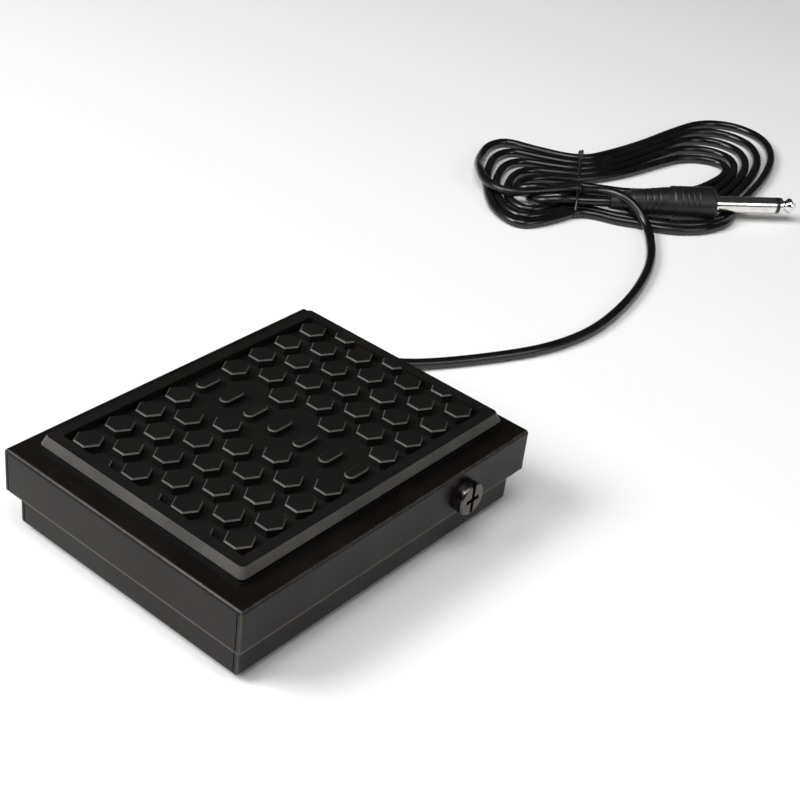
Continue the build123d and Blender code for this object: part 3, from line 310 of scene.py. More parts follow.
@dataclass(frozen=True)
class MouldedRubber:
    """Moulded black rubber: fine pebbling, a grey bloom, and paler bevels painted as rubbing wear
    and as a highlight.
    """

    name: str
    colour: Colour = (0.0040, 0.0038, 0.0036)
    bevel_wear_and_highlight: Colour = (0.105, 0.102, 0.090)
    bevel_wear_and_highlight_share: float = 0.0
    bloom: Colour = (0.019, 0.0175, 0.016)
    bloom_share: float = 0.30
    roughness: float = 0.50
    gloss: float = 0.27
    cloud_size: float = 14 * MM
    grain: float = 0.45 * MM
    grain_depth: float = 0.035 * MM
    speck_spacing: float = 2.6 * MM
    speck_share: float = 0.10

    def make(self) -> bpy.types.Material:
        """Builds the finish."""
        board = NodeBoard(self.name)
        cloud = board.noise(self.cloud_size, 5)
        pebble = board.noise(self.grain, 2)
        specks = board.span(board.pits(self.speck_spacing), 0.0, 0.11, 1.0, 0.0)
        share = board.maths("MULTIPLY", board.span(cloud, 0.40, 0.75), self.bloom_share)
        tone = board.blend(share, self.colour, self.bloom)
        tone = board.blend(board.maths("MULTIPLY", specks, self.speck_share), tone, self.bloom)
        # Sloping faces such as bevels are painted paler: a painted highlight along with rubbing
        # wear.
        patchy_wear_and_highlight = board.span(cloud, 0.25, 0.70, 0.65 * self.bevel_wear_and_highlight_share, self.bevel_wear_and_highlight_share)
        tone = board.blend(board.maths("MULTIPLY", board.sloping(), patchy_wear_and_highlight), tone, self.bevel_wear_and_highlight)
        rough = board.span(cloud, 0.3, 0.7, self.roughness + 0.05, self.roughness - 0.06)
        normal = board.bump(pebble, self.grain_depth)
        board.shine(Base_Color=tone, Roughness=rough, Normal=normal, Specular_IOR_Level=self.gloss)
        return board.material


@dataclass(frozen=True)
class MouldedPlastic:
    """Injection-moulded plastic with a fine spark-eroded grain."""

    name: str
    colour: Colour
    roughness: float = 0.42
    cloud_size: float = 5 * MM
    grain: float = 0.25 * MM
    depth: float = 0.012 * MM
    shade: float = 0.35

    def make(self) -> bpy.types.Material:
        """Builds the finish."""
        board = NodeBoard(self.name)
        cloud = board.noise(self.cloud_size, 3)
        darker = tuple(c * (1.0 - self.shade) for c in self.colour)
        tone = board.blend(board.span(cloud, 0.3, 0.7), darker, self.colour)
        rough = board.span(cloud, 0.3, 0.7, self.roughness - 0.05, self.roughness + 0.05)
        normal = board.bump(board.noise(self.grain, 2), self.depth)
        board.shine(Base_Color=tone, Roughness=rough, Normal=normal, IOR=1.48)
        return board.material


@dataclass(frozen=True)
class PlatedMetal:
    """Plated or bare metal: clouded tone, hairline scratches and dull patches."""

    name: str
    colour: Colour
    tarnish: Colour
    roughness: float = 0.22
    scratch_along: Point = (1.0, 14.0, 14.0)
    scratch_depth: float = 0.004 * MM
    scratch_size: float = 2.2 * MM
    cloud_size: float = 4 * MM
    tarnish_share: float = 0.5

    def make(self) -> bpy.types.Material:
        """Builds the finish."""
        board = NodeBoard(self.name)
        cloud = board.noise(self.cloud_size, 5)
        hairs = board.noise(self.scratch_size, 2, board.stretched(self.scratch_along))
        share = board.maths("MULTIPLY", board.span(cloud, 0.45, 0.75), self.tarnish_share)
        tone = board.blend(share, self.colour, self.tarnish)
        rough = board.span(cloud, 0.35, 0.75, self.roughness, self.roughness + 0.14)
        normal = board.bump(hairs, self.scratch_depth)
        board.shine(Base_Color=tone, Roughness=rough, Normal=normal, Metallic=1.0)
        return board.material


@dataclass(frozen=True)
class CordJacket:
    """Glossy flexible jacket: slow waves in the skin, fine drag lines and a few dull smears."""

    name: str
    colour: Colour = (0.0035, 0.0034, 0.0037)
    smear: Colour = (0.014, 0.0135, 0.013)
    smear_share: float = 0.35
    roughness: float = 0.22
    cloud_size: float = 9 * MM
    skin_size: float = 1.1 * MM
    skin_depth: float = 0.006 * MM
    wave_size: float = 6 * MM
    wave_depth: float = 0.05 * MM

    def make(self) -> bpy.types.Material:
        """Builds the finish."""
        board = NodeBoard(self.name)
        cloud = board.noise(self.cloud_size, 4)
        skin = board.noise(self.skin_size, 2)
        share = board.maths("MULTIPLY", board.span(cloud, 0.5, 0.8), self.smear_share)
        tone = board.blend(share, self.colour, self.smear)
        rough = board.span(cloud, 0.35, 0.75, self.roughness, self.roughness + 0.16)
        waves = board.bump(board.noise(self.wave_size, 1), self.wave_depth)
        normal = board.bump(skin, self.skin_depth, waves)
        board.shine(Base_Color=tone, Roughness=rough, Normal=normal, IOR=1.52)
        return board.material


def paint_nodes(frame: dict, names: tuple[str, ...], material: bpy.types.Material) -> None:
    """Gives CAD nodes a finish in the material slots that they already have.

    Args:
        names: The nodes to dress.
        material: The finish.
    """
    for name in names:
        node = frame["nodes"][name]
        for slot in node.material_slots:
            slot.material = material
        log.info("node %s wears %s", name, material.name)


# ---------------------------------------------------------------- surfaces
class GridSurface:
    """A surface of rows and columns of points, closed or open either way."""

    def __init__(self, points: np.ndarray, loop_rows: bool, loop_columns: bool) -> None:
        """Works out the faces of a grid.

        Args:
            points: An array of rows by columns by 3, in metres.
            loop_rows: Whether the last row joins the first.
            loop_columns: Whether the last column joins the first.
        """
        rows, columns = points.shape[:2]
        self.points = points.reshape(-1, 3)
        number = np.arange(rows * columns).reshape(rows, columns)
        if loop_rows:
            number = np.vstack([number, number[:1]])
        if loop_columns:
            number = np.hstack([number, number[:, :1]])
        corners = (number[:-1, :-1], number[:-1, 1:], number[1:, 1:], number[1:, :-1])
        self.faces = np.stack(corners, axis=-1).reshape(-1, 4)

    @staticmethod
    def joined(parts: list["GridSurface"]) -> "GridSurface":
        """One surface that holds all the parts, each still closed or open by itself."""
        whole = parts[0]
        for part in parts[1:]:
            whole.faces = np.vstack([whole.faces, part.faces + len(whole.points)])
            whole.points = np.vstack([whole.points, part.points])
        return whole

    def make(self, name: str, material: bpy.types.Material) -> bpy.types.Object:
        """Puts the surface into the scene, shaded smooth.

        Args:
            name: The piece's name.
            material: Its finish.

        Returns:
            The new object, at the origin.
        """
        mesh = bpy.data.meshes.new(name)
        mesh.vertices.add(len(self.points))
        mesh.vertices.foreach_set("co", self.points.astype(np.float32).ravel())
        mesh.loops.add(self.faces.size)
        mesh.loops.foreach_set("vertex_index", self.faces.astype(np.int32).ravel())
        mesh.polygons.add(len(self.faces))
        mesh.polygons.foreach_set("loop_start", np.arange(0, self.faces.size, 4, dtype=np.int32))
        mesh.polygons.foreach_set("use_smooth", np.ones(len(self.faces), dtype=bool))
        mesh.update(calc_edges=True)
        mesh.validate()
        mesh.materials.append(material)
        piece = bpy.data.objects.new(name, mesh)
        bpy.context.scene.collection.objects.link(piece)
        return piece


def tube(path: np.ndarray, radii: np.ndarray | float, sides: int, side: np.ndarray) -> GridSurface:
    """Carries a circle along a path.

    At each point the circle lies across the path: its two axes are the path's direction crossed
    with the side vector, and that direction crossed with the first axis. Both ends are drawn in
    to a point, which closes them.

    Args:
        path: The points of the centreline, one row each.
        radii: The circle's radius, one for all or one for each point.
        sides: How many points the circle has.
        side: A vector, or one for each point, that is never along the path.

    Returns:
        The tube's surface.
    """
    along = np.gradient(path, axis=0)
    along /= np.linalg.norm(along, axis=1, keepdims=True)
    first = np.cross(along, np.broadcast_to(side, path.shape))
    first /= np.linalg.norm(first, axis=1, keepdims=True)
    second = np.cross(along, first)
    radii = np.broadcast_to(radii, len(path)).astype(float)
    path, first, second = (np.vstack([a[:1], a, a[-1:]]) for a in (path, first, second))
    radii = np.concatenate([[0.0], radii, [0.0]])
    turn = np.linspace(0, 2 * np.pi, sides, endpoint=False)
    ring = first[:, None] * np.cos(turn)[:, None] + second[:, None] * np.sin(turn)[:, None]
    return GridSurface(path[:, None] + radii[:, None, None] * ring, False, True)


def rounded_steps(stops: np.ndarray, share: float, steps: int) -> np.ndarray:
    """Rounds the corners of an outline.

    Each corner is replaced by a quadratic curve that starts and ends a share of the shorter
    neighbouring run away from it and has the corner as its middle control point.

    Args:
        stops: The outline's corners, one row each, open at its ends.
        share: The part of a run that a curve takes, up to 0.5.
        steps: Points for each rounded corner.

    Returns:
        The rounded outline, with its first and last points kept.
    """
    before, corner, after = stops[:-2], stops[1:-1], stops[2:]
    back, ahead = before - corner, after - corner
    lengths = np.linalg.norm(back, axis=1), np.linalg.norm(ahead, axis=1)
    reach = share * np.minimum(*lengths)
    start = corner + back * (reach / lengths[0])[:, None]
    end = corner + ahead * (reach / lengths[1])[:, None]
    t = np.linspace(0, 1, steps)[None, :, None]
    curve = (1 - t) ** 2 * start[:, None] + 2 * t * (1 - t) * corner[:, None] + t**2 * end[:, None]
    return np.vstack([stops[:1], curve.reshape(-1, stops.shape[1]), stops[-1:]])


# ---------------------------------------------------------------- lead and hank
@dataclass(frozen=True)
class HankTurn:
    """One turn of the hank, in millimetres on the hank's own axes (u along it, v across).

    tie_front and tie_back are where the turn passes under the tie, left_reach and right_reach
    how far it goes each way, and the rest how wide its two loops open.
    """

    tie_front: float
    left_reach: float
    left_front: float
    left_back: float
    tie_back: float
    right_reach: float
    right_back: float
    right_front: float
    return_v: float


@dataclass
class Lead:
    """The lead: a free run from the gland, a hank of five turns, and an end in the plug."""

    diameter: float = 3.5 * MM
    length: float = 1.85
    centre: tuple[float, float] = (-64.5, 241.0)
    angle: float = math.radians(50.0)
    tie_lean: float = 0.32
    floor_z: float = 1.8
    upper_z: float = 5.3
    rising_z: float = 3.2
    falling_z: float = 3.4
    first_lift: float = 0.2
    handle_v: float = -21.5
    free_run: tuple[Point, ...] = (
        (-30.0, 60.3, 8.0),
        (-30.0, 71.3, 8.0),
        (-27.0, 80.5, 3.2),
        (-20.0, 91.5, 1.8),
        (-8.6, 111.0, 1.8),
        (0.5, 131.0, 1.8),
        (3.9, 152.0, 1.8),
        (1.4, 173.5, 1.8),
        (-3.2, 193.0, 1.8),
        (-11.0, 213.0, 1.8),
    )
    climb: tuple[Point, ...] = (
        (18.6, -38.5, 1.8),
        (17.8, -32.2, 4.4),
        (14.6, -26.8, 8.4),
        (9.6, -21.6, 10.5),
        (4.2, -16.2, 9.0),
        (0.2, -11.6, 6.6),
    )
    into_plug: tuple[Point, ...] = (
        (0.8, 2.5, 1.8),
        (-9.0, 0.5, 1.8),
        (-16.0, -0.3, 1.8),
        (-21.3, -4.4, 1.9),
        (-22.4, -10.4, 2.0),
        (-19.6, -15.8, 3.8),
        (-14.0, -17.6, 5.3),
        (-8.0, -17.4, 5.3),
        (-3.0, -18.8, 5.6),
        (2.0, -20.5, 6.4),
        (5.5, -21.4, 6.8),
        (9.0, -21.4, 6.8),
    )
    turns: tuple[HankTurn, ...] = (
        HankTurn(-8.0, 39.0, -12.0, 43.0, 26.5, 99.5, 68.5, -3.0, -34.8),
        HankTurn(-21.0, 38.5, -32.0, 33.5, 21.8, 91.0, 59.5, -3.0, -30.4),
        HankTurn(-16.3, 35.0, -26.0, 24.0, 17.1, 83.5, 50.5, -3.5, -12.6),
        HankTurn(-10.0, 30.5, -20.0, 15.5, 12.4, 76.5, 41.0, -2.5, -8.5),
        HankTurn(-4.5, 25.5, -7.0, 8.5, 7.6, 71.5, 31.5, 1.5, -2.6),
    )

    def left_loop(self, turn: HankTurn) -> np.ndarray:
        """The turn's loop left of the tie.

        The reach grows and falls like a lobe, while v passes from the tie's front crossing to
        the loop's front, on to its back, and in to the tie's back crossing.
        """
        reach = np.array([0.33, 0.62, 0.85, 1.0, 1.0, 0.96, 0.86, 0.72, 0.50, 0.24])
        out = self.mixed(turn.tie_front, turn.left_front, np.array([0.32, 0.85]))
        over = self.mixed(
            turn.left_front, turn.left_back, np.array([0.0, 0.17, 0.35, 0.54, 0.74, 0.92, 1.0])
        )
        back = self.mixed(turn.left_back, turn.tie_back, np.array([0.45]))
        v = np.concatenate([out, over, back])
        return np.column_stack([-turn.left_reach * reach, v, np.full(len(v), self.floor_z)])

    def right_loop(self, turn: HankTurn) -> np.ndarray:
        """The turn's loop right of the tie, out along its back and round its far end."""
        reach = np.array([0.23, 0.41, 0.60, 0.76, 0.90, 0.985, 1.0, 0.97, 0.90, 0.81, 0.72])
        out = self.mixed(turn.tie_back, turn.right_back, np.array([0.16, 0.42, 0.76, 1.0]))
        over = self.mixed(
            turn.right_back,
            turn.right_front,
            np.array([0.02, 0.15, 0.30, 0.48, 0.67, 0.85, 1.0]),
        )
        v = np.concatenate([out, over])
        return np.column_stack([turn.right_reach * reach, v, np.full(len(v), self.floor_z)])

    def return_run(self, turn: HankTurn, next_v: float) -> np.ndarray:
        """The way back to the tie: round the plug's handle in front, or straight behind it."""
        near = turn.return_v - self.handle_v
        if near < 0:
            wide = near < -11.0
            u = np.array([59.5 if wide else 56.5, 54.0 if wide else 51.5])
            u = np.concatenate([u, [44.5, 35.0, 25.0, 16.5, 8.0, 1.0]])
            share = [0.45, 0.86, 1.0, 0.93, 0.60 if wide else 0.53, 0.42 if wide else 0.22]
            v = self.handle_v + near * np.array(share)
            last = self.mixed(self.handle_v + 0.42 * near, next_v, np.array([0.75]))
            v = np.concatenate([[-19.0 if wide else -17.5], v, last])
        else:
            share = np.array([0.60, 0.95, 1.0, 1.0])
            start = 0.72 * turn.right_reach
            u = np.concatenate([start * np.array([0.90, 0.74, 0.55, 0.37]), [11.0, 4.0]])
            v = self.mixed(turn.right_front, turn.return_v, share)
            v = np.concatenate([v, self.mixed(turn.return_v, next_v, np.array([0.45, 0.85]))])
        return np.column_stack([u, v, np.full(len(v), self.floor_z)])

    @staticmethod
    def mixed(a: float, b: float, share: np.ndarray) -> np.ndarray:
        """The values a share of the way from a to b."""
        return a + (b - a) * share

    def at_tie(self, v: float, z: float) -> np.ndarray:
        """Where a strand crosses the leaning line of the tie."""
        return np.array([[self.tie_lean * v, v, z]])

    def on_ground(self, local: np.ndarray) -> np.ndarray:
        """Turns the hank's own coordinates into the frame's, still in millimetres."""
        u_axis = np.array([math.cos(self.angle), math.sin(self.angle)])
        v_axis = np.array([-u_axis[1], u_axis[0]])
        flat = np.array(self.centre) + local[:, :1] * u_axis + local[:, 1:2] * v_axis
        return np.column_stack([flat, local[:, 2]])

    def control_points(self) -> np.ndarray:
        """Every point of the lead's spline, in metres.

        The first turn's front lies over the others, and the last turn's front rises over the
        strand that goes into the plug.
        """
        hank = [np.array(self.climb)]
        next_fronts = [turn.tie_front for turn in self.turns[1:]] + [self.into_plug[0][1]]
        for count, (turn, next_v) in enumerate(zip(self.turns, next_fronts)):
            loop = self.left_loop(turn)
            if turn is self.turns[0]:
                loop[:6, 2] = [self.upper_z] * 5 + [self.falling_z]
            if turn is self.turns[-1]:
                loop[:4, 2] = [self.rising_z, self.upper_z, self.upper_z, self.falling_z]
            front_z = self.upper_z + self.first_lift if count == 0 else self.floor_z
            hank += [self.at_tie(turn.tie_front, front_z), loop]
            hank += [self.at_tie(turn.tie_back, self.floor_z), self.right_loop(turn)]
            hank.append(self.return_run(turn, next_v))
        hank.append(np.array(self.into_plug))
        return np.vstack([np.array(self.free_run), self.on_ground(np.vstack(hank))]) * MM

    def build(self, jacket: bpy.types.Material) -> bpy.types.Object:
        """Makes the lead as one smooth spline with a round bevel.

        Args:
            jacket: The finish of its jacket.

        Returns:
            The lead.
        """
        points = self.control_points()
        curve = bpy.data.curves.new("lead", "CURVE")
        curve.dimensions = "3D"
        curve.resolution_u = 10
        curve.render_resolution_u = 10
        curve.bevel_depth = self.diameter / 2
        curve.bevel_resolution = 5
        curve.use_fill_caps = True
        spline = curve.splines.new("NURBS")
        spline.points.add(len(points) - 1)
        spline.points.foreach_set("co", np.column_stack([points, np.ones(len(points))]).ravel())
        spline.order_u = 3
        spline.use_endpoint_u = True
        curve.materials.append(jacket)
        lead = bpy.data.objects.new("lead", curve)
        bpy.context.scene.collection.objects.link(lead)
        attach(lead, Body.BASE.value)
        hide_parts("cord", "cord_hank")
        return lead


@dataclass
class HankTie:
    """The coated wire round the middle of the hank, with its ends twisted together."""

    lead: Lead
    wire: float = 1.2
    strand_top: float = 3.6
    front_v: float = -24.0
    back_v: float = 29.5
    twist_length: float = 7.0
    twist_pitch: float = 3.2
    sides: int = 10

    def loop_path(self) -> np.ndarray:
        """The closed way round the strands, rounded at its corners.

        It runs back along the ground under the strands, up behind them, forward over their
        tops, which stand higher over the lead and the strand into the plug, and down in front.
        """
        low, over = self.wire / 2, self.strand_top + self.wire / 2
        corners = [
            (2.0, low),
            (self.back_v - 2.0, low),
            (self.back_v, 2.4),
            (self.back_v - 1.8, over),
            (12.0, over + 0.4),
            (2.0, over + 0.4),
            (-4.5, 7.0),
            (-8.5, 9.4),
            (-12.5, 8.3),
            (-17.0, 9.0),
            (-20.5, 7.2),
            (self.front_v, 3.4),
            (self.front_v + 0.8, low),
            (-14.0, low),
            (2.0, low),
        ]
        return rounded_steps(np.array(corners), 0.45, 7)

    def build(self, coating: bpy.types.Material) -> bpy.types.Object:
        """Makes the tie from the loop and two strands of the twist.

        Args:
            coating: The finish of the wire.

        Returns:
            The tie.
        """
        flat = self.loop_path()
        ring = self.in_frame(flat[:, 0], flat[:, 1])
        lean = np.array([self.lead.tie_lean, 1.0, 0.0])
        across = self.lead.on_ground(np.array([[lean[1], -lean[0], 0.0]]))[0]
        across -= np.array([*self.lead.centre, 0.0])
        parts = [tube(ring, self.wire / 2 * MM, self.sides, across)]
        parts += [self.twisted_end(start) for start in (0.0, math.pi)]
        tie = GridSurface.joined(parts).make("hank_tie", coating)
        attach(tie, Body.BASE.value)
        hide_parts("cord_tie")
        return tie

    def in_frame(self, v: np.ndarray, z: np.ndarray, side: np.ndarray | float = 0.0) -> np.ndarray:
        """Carries points of the tie's upright plane into the frame, in metres."""
        u = self.lead.tie_lean * v + side
        return self.lead.on_ground(np.column_stack([u, v, z])) * MM

    def twisted_end(self, start: float) -> GridSurface:
        """One strand of the twisted ends: a helix that lies on the ground behind the hank.

        Args:
            start: Where round the helix the strand starts, in radians.

        Returns:
            The strand.
        """
        along = np.linspace(0.0, self.twist_length, 40)
        turn = start + 2 * math.pi * along / self.twist_pitch
        z = self.wire + 0.05 + self.wire / 2 * np.sin(turn)
        path = self.in_frame(self.back_v - 0.4 + along, z, self.wire / 2 * np.cos(turn))
        return tube(path, self.wire / 2 * MM, self.sides, np.array([0.0, 0.0, 1.0]))


# ---------------------------------------------------------------- plug
@dataclass
class PlugHandle:
    """The plug's moulded handle: a grip with four rings, a sleeve with ribs, and a tail.

    Sizes are millimetres. front is the middle of the handle's front face, and shaft_ahead is how
    far ahead of it the middle of the bare shaft lies.
    """

    front: Point
    angle: float
    shaft_ahead: ClassVar[float] = 15.2
    length: float = 42.0
    width: float = 13.4
    rim: float = 0.7
    rim_in: float = 0.6
    grip_end: float = 17.0
    step: float = 0.5
    sleeve_front: float = 20.0
    sleeve_in: float = 0.6
    neck_at: float = 33.5
    neck: float = 9.8
    tail_at: float = 34.6
    tail: float = 6.4
    tail_taper: tuple[float, float] = (0.5, -0.4)
    rings: tuple[float, float, int] = (7.6, 2.3, 4)
    ring_cut: tuple[float, float] = (0.8, 0.2)
    ribs: tuple[float, float, int] = (23.4, 2.6, 3)
    rib_cut: tuple[float, float] = (0.9, 0.22)
    bore: float = 3.6
    bore_depth: float = 3.0
    sides: int = 72

    def radius_at(self, back: np.ndarray) -> np.ndarray:
        """The handle's radius at a distance behind its front.

        The grip is a cylinder that ends in a small step, then the sleeve narrows in a straight
        taper to the neck and the tail narrows again to the lead. Rings and ribs are shallow
        cuts, and a cut's depth is its full depth times a raised cosine of the distance from
        its middle. rings and ribs give the first middle, the spacing and the count.

        Args:
            back: Distances behind the front, in millimetres.

        Returns:
            The radii, in millimetres.
        """
        half = self.width / 2
        profile = (
            (0.0, half - self.rim_in),
            (self.rim, half),
            (self.grip_end, half),
            (self.grip_end + self.step, half - self.step),
            (self.sleeve_front, half - self.sleeve_in),
            (self.neck_at, self.neck / 2),
            (self.tail_at, self.tail / 2 + self.tail_taper[0]),
            (self.length, self.tail / 2 + self.tail_taper[1]),
        )
        r = np.interp(back, *zip(*profile))
        for (first, spacing, count), (width, depth) in (
            (self.rings, self.ring_cut),
            (self.ribs, self.rib_cut),
        ):
            for middle in first + spacing * np.arange(count):
                inside = np.clip(np.abs(back - middle) / (width / 2), 0, 1)
                r = r - depth * (0.5 + 0.5 * np.cos(np.pi * inside))
        return r

    def build(self, moulding: bpy.types.Material) -> bpy.types.Object:
        """Turns the profile about the plug's axis and closes it round the lead.

        Args:
            moulding: The handle's finish.

        Returns:
            The handle.
        """
        rim = np.linspace(0, self.rim, 6)
        back = np.concatenate([rim, np.linspace(self.rim + 0.1, self.length, 300)])
        radii = self.radius_at(back)
        back = np.concatenate([[0.0], back, [self.length, self.length - self.bore_depth]])
        radii = np.concatenate([[0.0], radii, [self.bore / 2, self.bore / 2]])
        turn = np.linspace(0, 2 * np.pi, self.sides, endpoint=False)
        ahead = np.array([math.cos(self.angle), math.sin(self.angle), 0.0])
        side, up = np.array([ahead[1], -ahead[0], 0.0]), np.array([0.0, 0.0, 1.0])
        ring = side * np.cos(turn)[:, None] + up * np.sin(turn)[:, None]
        middle = np.array(self.front) - back[:, None] * ahead
        points = middle[:, None] + radii[:, None, None] * ring
        handle = GridSurface(points * MM, False, True).make("plug_grip", moulding)
        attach(handle, Body.BASE.value)
        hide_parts("plug_handle")
        return handle


# ---------------------------------------------------------------- studio
@dataclass(frozen=True)
class SoftLight:
    """A square soft light that faces a point, with its width in metres and its power in watts."""

    name: str
    at: Point
    toward: Point
    size: float
    power: float

    def hang(self) -> None:
        """Puts the light into the scene."""
        data = bpy.data.lights.new(self.name, "AREA")
        data.shape = "SQUARE"
        data.size = self.size
        data.energy = self.power
        light = bpy.data.objects.new(self.name, data)
        light.location = self.at
        facing = Vector(self.toward) - Vector(self.at)
        light.rotation_euler = facing.to_track_quat("-Z", "Y").to_euler()
        bpy.context.scene.collection.objects.link(light)


@dataclass
class Studio:
    """The camera, the floor and the soft lights."""

    camera_at: Point = (0.2253, -0.2545, 0.2650)
    right: Point = (0.75791, 0.64344, 0.10751)
    up: Point = (-0.42534, 0.36245, 0.82929)
    forward: Point = (-0.49463, 0.67425, -0.54838)
    lens: float = 70.0
    sensor: float = 36.0
    floor_half: float = 3.0
    floor_drop: float = 0.05 * MM
    floor_colour: Colour = (0.93, 0.93, 0.93)
    floor_pale: Colour = (0.95, 0.95, 0.95)
    floor_cloud: float = 0.6
    room_strength: float = 0.035
    room_colour: Colour = (1.0, 0.99, 0.97)
    pale_strength: float = 0.9
    lights: tuple[SoftLight, ...] = (
        SoftLight("key", (-0.55, -0.75, 0.85), (0.0, 0.05, 0.0), 0.6, 15.0),
        SoftLight("top", (0.25, -0.35, 1.3), (0.0, 0.15, 0.0), 0.9, 11.0),
        SoftLight("side", (1.2, 0.2, 0.7), (0.0, 0.15, 0.0), 0.6, 3.5),
    )

    def place_camera(self) -> None:
        """Makes the scene's camera."""
        data = bpy.data.cameras.new("camera")
        data.lens = self.lens
        data.sensor_width = self.sensor
        data.clip_start = 0.01
        data.clip_end = 20.0
        camera = bpy.data.objects.new("camera", data)
        back = [-c for c in self.forward]
        turn = Matrix((self.right, self.up, back)).transposed()
        camera.matrix_world = Matrix.Translation(self.camera_at) @ turn.to_4x4()
        bpy.context.scene.collection.objects.link(camera)
        bpy.context.scene.camera = camera

    def lay_floor(self) -> None:
        """Lays a plain pale floor just under the feet."""
        half = self.floor_half
        corners = [[(-half, -half, 0), (half, -half, 0)], [(-half, half, 0), (half, half, 0)]]
        points = np.array(corners, float) - np.array([0, 0, self.floor_drop])
        board = NodeBoard("floor")
        tone = board.blend(board.noise(self.floor_cloud, 2), self.floor_colour, self.floor_pale)
        board.shine(Base_Color=tone, Roughness=0.75)
        floor = GridSurface(points, False, False).make("floor", board.material)

    def fill_room(self) -> None:
        """Gives the room a dim even light, and a pale look where the camera sees past the floor."""
        world = bpy.data.worlds.new("room")
        bpy.context.scene.world = world
        world.use_nodes = True
        nodes, links = world.node_tree.nodes, world.node_tree.links
        nodes.clear()
        dim, pale = nodes.new("ShaderNodeBackground"), nodes.new("ShaderNodeBackground")
        dim.inputs["Color"].default_value = (*self.room_colour, 1.0)
        dim.inputs["Strength"].default_value = self.room_strength
        pale.inputs["Strength"].default_value = self.pale_strength
        pale.inputs["Color"].default_value = (1.0, 1.0, 1.0, 1.0)
        mix, seen = nodes.new("ShaderNodeMixShader"), nodes.new("ShaderNodeLightPath")
        links.new(seen.outputs["Is Camera Ray"], mix.inputs[0])
        links.new(dim.outputs[0], mix.inputs[1])
        links.new(pale.outputs[0], mix.inputs[2])
        links.new(mix.outputs[0], nodes.new("ShaderNodeOutputWorld").inputs["Surface"])

    def build(self) -> None:
        """Sets the whole studio up."""
        self.place_camera()
        self.lay_floor()
        self.fill_room()
        bpy.context.scene.view_settings.view_transform = "Standard"
        for light in self.lights:
            light.hang()


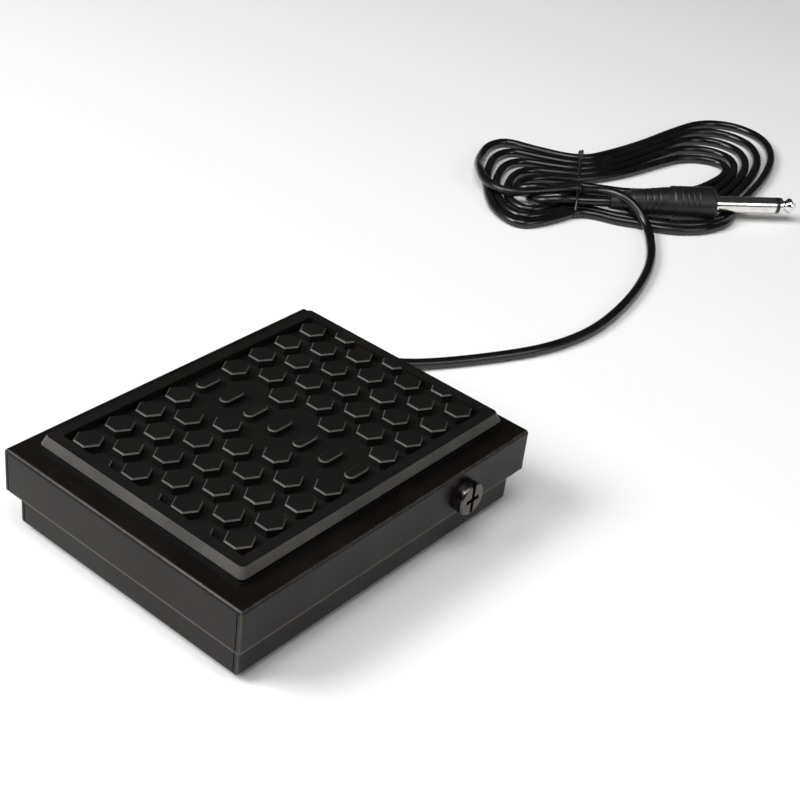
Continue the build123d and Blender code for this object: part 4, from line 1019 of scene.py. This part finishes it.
# ---------------------------------------------------------------- the pedal
@dataclass
class Pedal:
    """The whole object: finishes for the CAD parts, and the pieces built here."""

    frame: dict

    def box(self, node: str) -> dict[str, Point]:
        """A node's lowest and highest corners, as a finish takes them."""
        low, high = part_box(node)
        return {"low": tuple(low), "high": tuple(high)}

    def dress_hard_parts(self) -> None:
        """Gives every CAD node that stays in view its finish."""
        zinc = PlatedMetal("zinc plate", (0.55, 0.55, 0.53), (0.33, 0.33, 0.30), 0.30)
        steel = PlatedMetal("spring steel", (0.50, 0.50, 0.50), (0.22, 0.20, 0.18), 0.24)
        dark_nickel = PlatedMetal(
            "dark nickel",
            (0.105, 0.095, 0.088),
            (0.035, 0.031, 0.028),
            roughness=0.24,
            scratch_along=(1.0, 1.0, 9.0),
        )
        bright_nickel = PlatedMetal(
            "bright nickel",
            (0.86, 0.84, 0.80),
            (0.66, 0.62, 0.55),
            roughness=0.09,
            scratch_along=(9.0, 9.0, 1.0),
            scratch_depth=0.002 * MM,
        )
        brass = PlatedMetal("tinned brass", (0.75, 0.60, 0.30), (0.42, 0.30, 0.14), 0.25)
        aluminium = PlatedMetal("plain aluminium", (0.70, 0.70, 0.70), (0.48, 0.48, 0.48), 0.32)
        black = MouldedPlastic("black plastic", (0.030, 0.030, 0.030))
        rows = (
            (("lid",), PowderCoat("lid paint", **self.box("lid"))),
            (("base_tray",), PowderCoat("base paint", **self.box("base_tray"))),
            # The tread's bevels carry a painted highlight along with rubbing wear.
            (("tread_pad",), MouldedRubber("tread rubber", bevel_wear_and_highlight_share=0.72)),
            (("rubber_feet", "down_stop_buffers"), MouldedRubber("foot rubber", roughness=0.68)),
            (("cord_grommet",), MouldedRubber("gland rubber", bloom_share=0.12)),
            (("pivot_screws",), dark_nickel),
            (("plug_sleeve", "plug_tip"), bright_nickel),
            (
                (
                    "pivot_spacers",
                    "pivot_nuts",
                    "stop_hook",
                    "switch_actuator",
                    "switch_bracket",
                    "switch_screws",
                    "switch_nuts",
                    "clamp_screws",
                ),
                zinc,
            ),
            (("return_spring", "switch_lever"), steel),
            (("switch_terminals",), brass),
            (("bracket_rivets",), aluminium),
            (("spring_seat", "spring_cap", "cable_clamp"), black),
            (("pivot_bushes",), MouldedPlastic("bush nylon", (0.012, 0.012, 0.012), 0.35)),
            (("switch_body",), MouldedPlastic("switch case", (0.040, 0.040, 0.044), 0.5)),
            (("switch_plunger",), MouldedPlastic("red acetal", (0.55, 0.10, 0.06), 0.3, shade=0.2)),
            (("inner_cable",), CordJacket("inner jacket")),
            (("inner_wires",), MouldedPlastic("wire sleeve", (0.58, 0.07, 0.05), 0.32, shade=0.2)),
            (("plug_insulator",), MouldedPlastic("plug ring", (0.016, 0.016, 0.016), 0.25)),
        )
        for names, finish in rows:
            paint_nodes(self.frame, names, finish.make())

    def add_lead(self) -> None:
        """Builds the lead with its tie and plug, and logs the name of each piece."""
        lead_maker = Lead()
        lead = lead_maker.build(CordJacket("lead jacket").make())
        coating = MouldedPlastic("tie coating", (0.006, 0.006, 0.006), 0.24).make()
        tie = HankTie(lead_maker).build(coating)
        mounts = {mount["name"]: mount for mount in self.frame["record"]["mounts"]}
        shaft = mounts["jack_sleeve"]
        angle = math.atan2(shaft["axis"][1], shaft["axis"][0])
        front = np.array(shaft["pos_m"]) / MM - PlugHandle.shaft_ahead * np.array(shaft["axis"])
        moulding = MouldedPlastic("plug moulding", (0.010, 0.010, 0.0108), 0.38).make()
        grip = PlugHandle(tuple(front), angle).build(moulding)
        for piece in (lead, tie, grip):
            log.info("piece %s is in place", piece.name)


def corners(box: tuple) -> list[list[float]]:
    """A pair of corners as plain lists of numbers."""
    return [[float(c) for c in corner] for corner in box]


def main() -> None:
    """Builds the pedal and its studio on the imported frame."""
    logging.basicConfig(level=logging.INFO, format="%(name)s: %(message)s")
    for item in list(bpy.data.objects):
        bpy.data.objects.remove(item)
    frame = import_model()
    pedal = Pedal(frame)
    pedal.dress_hard_parts()
    pedal.add_lead()
    Studio().build()


if __name__ == "__main__":
    main()
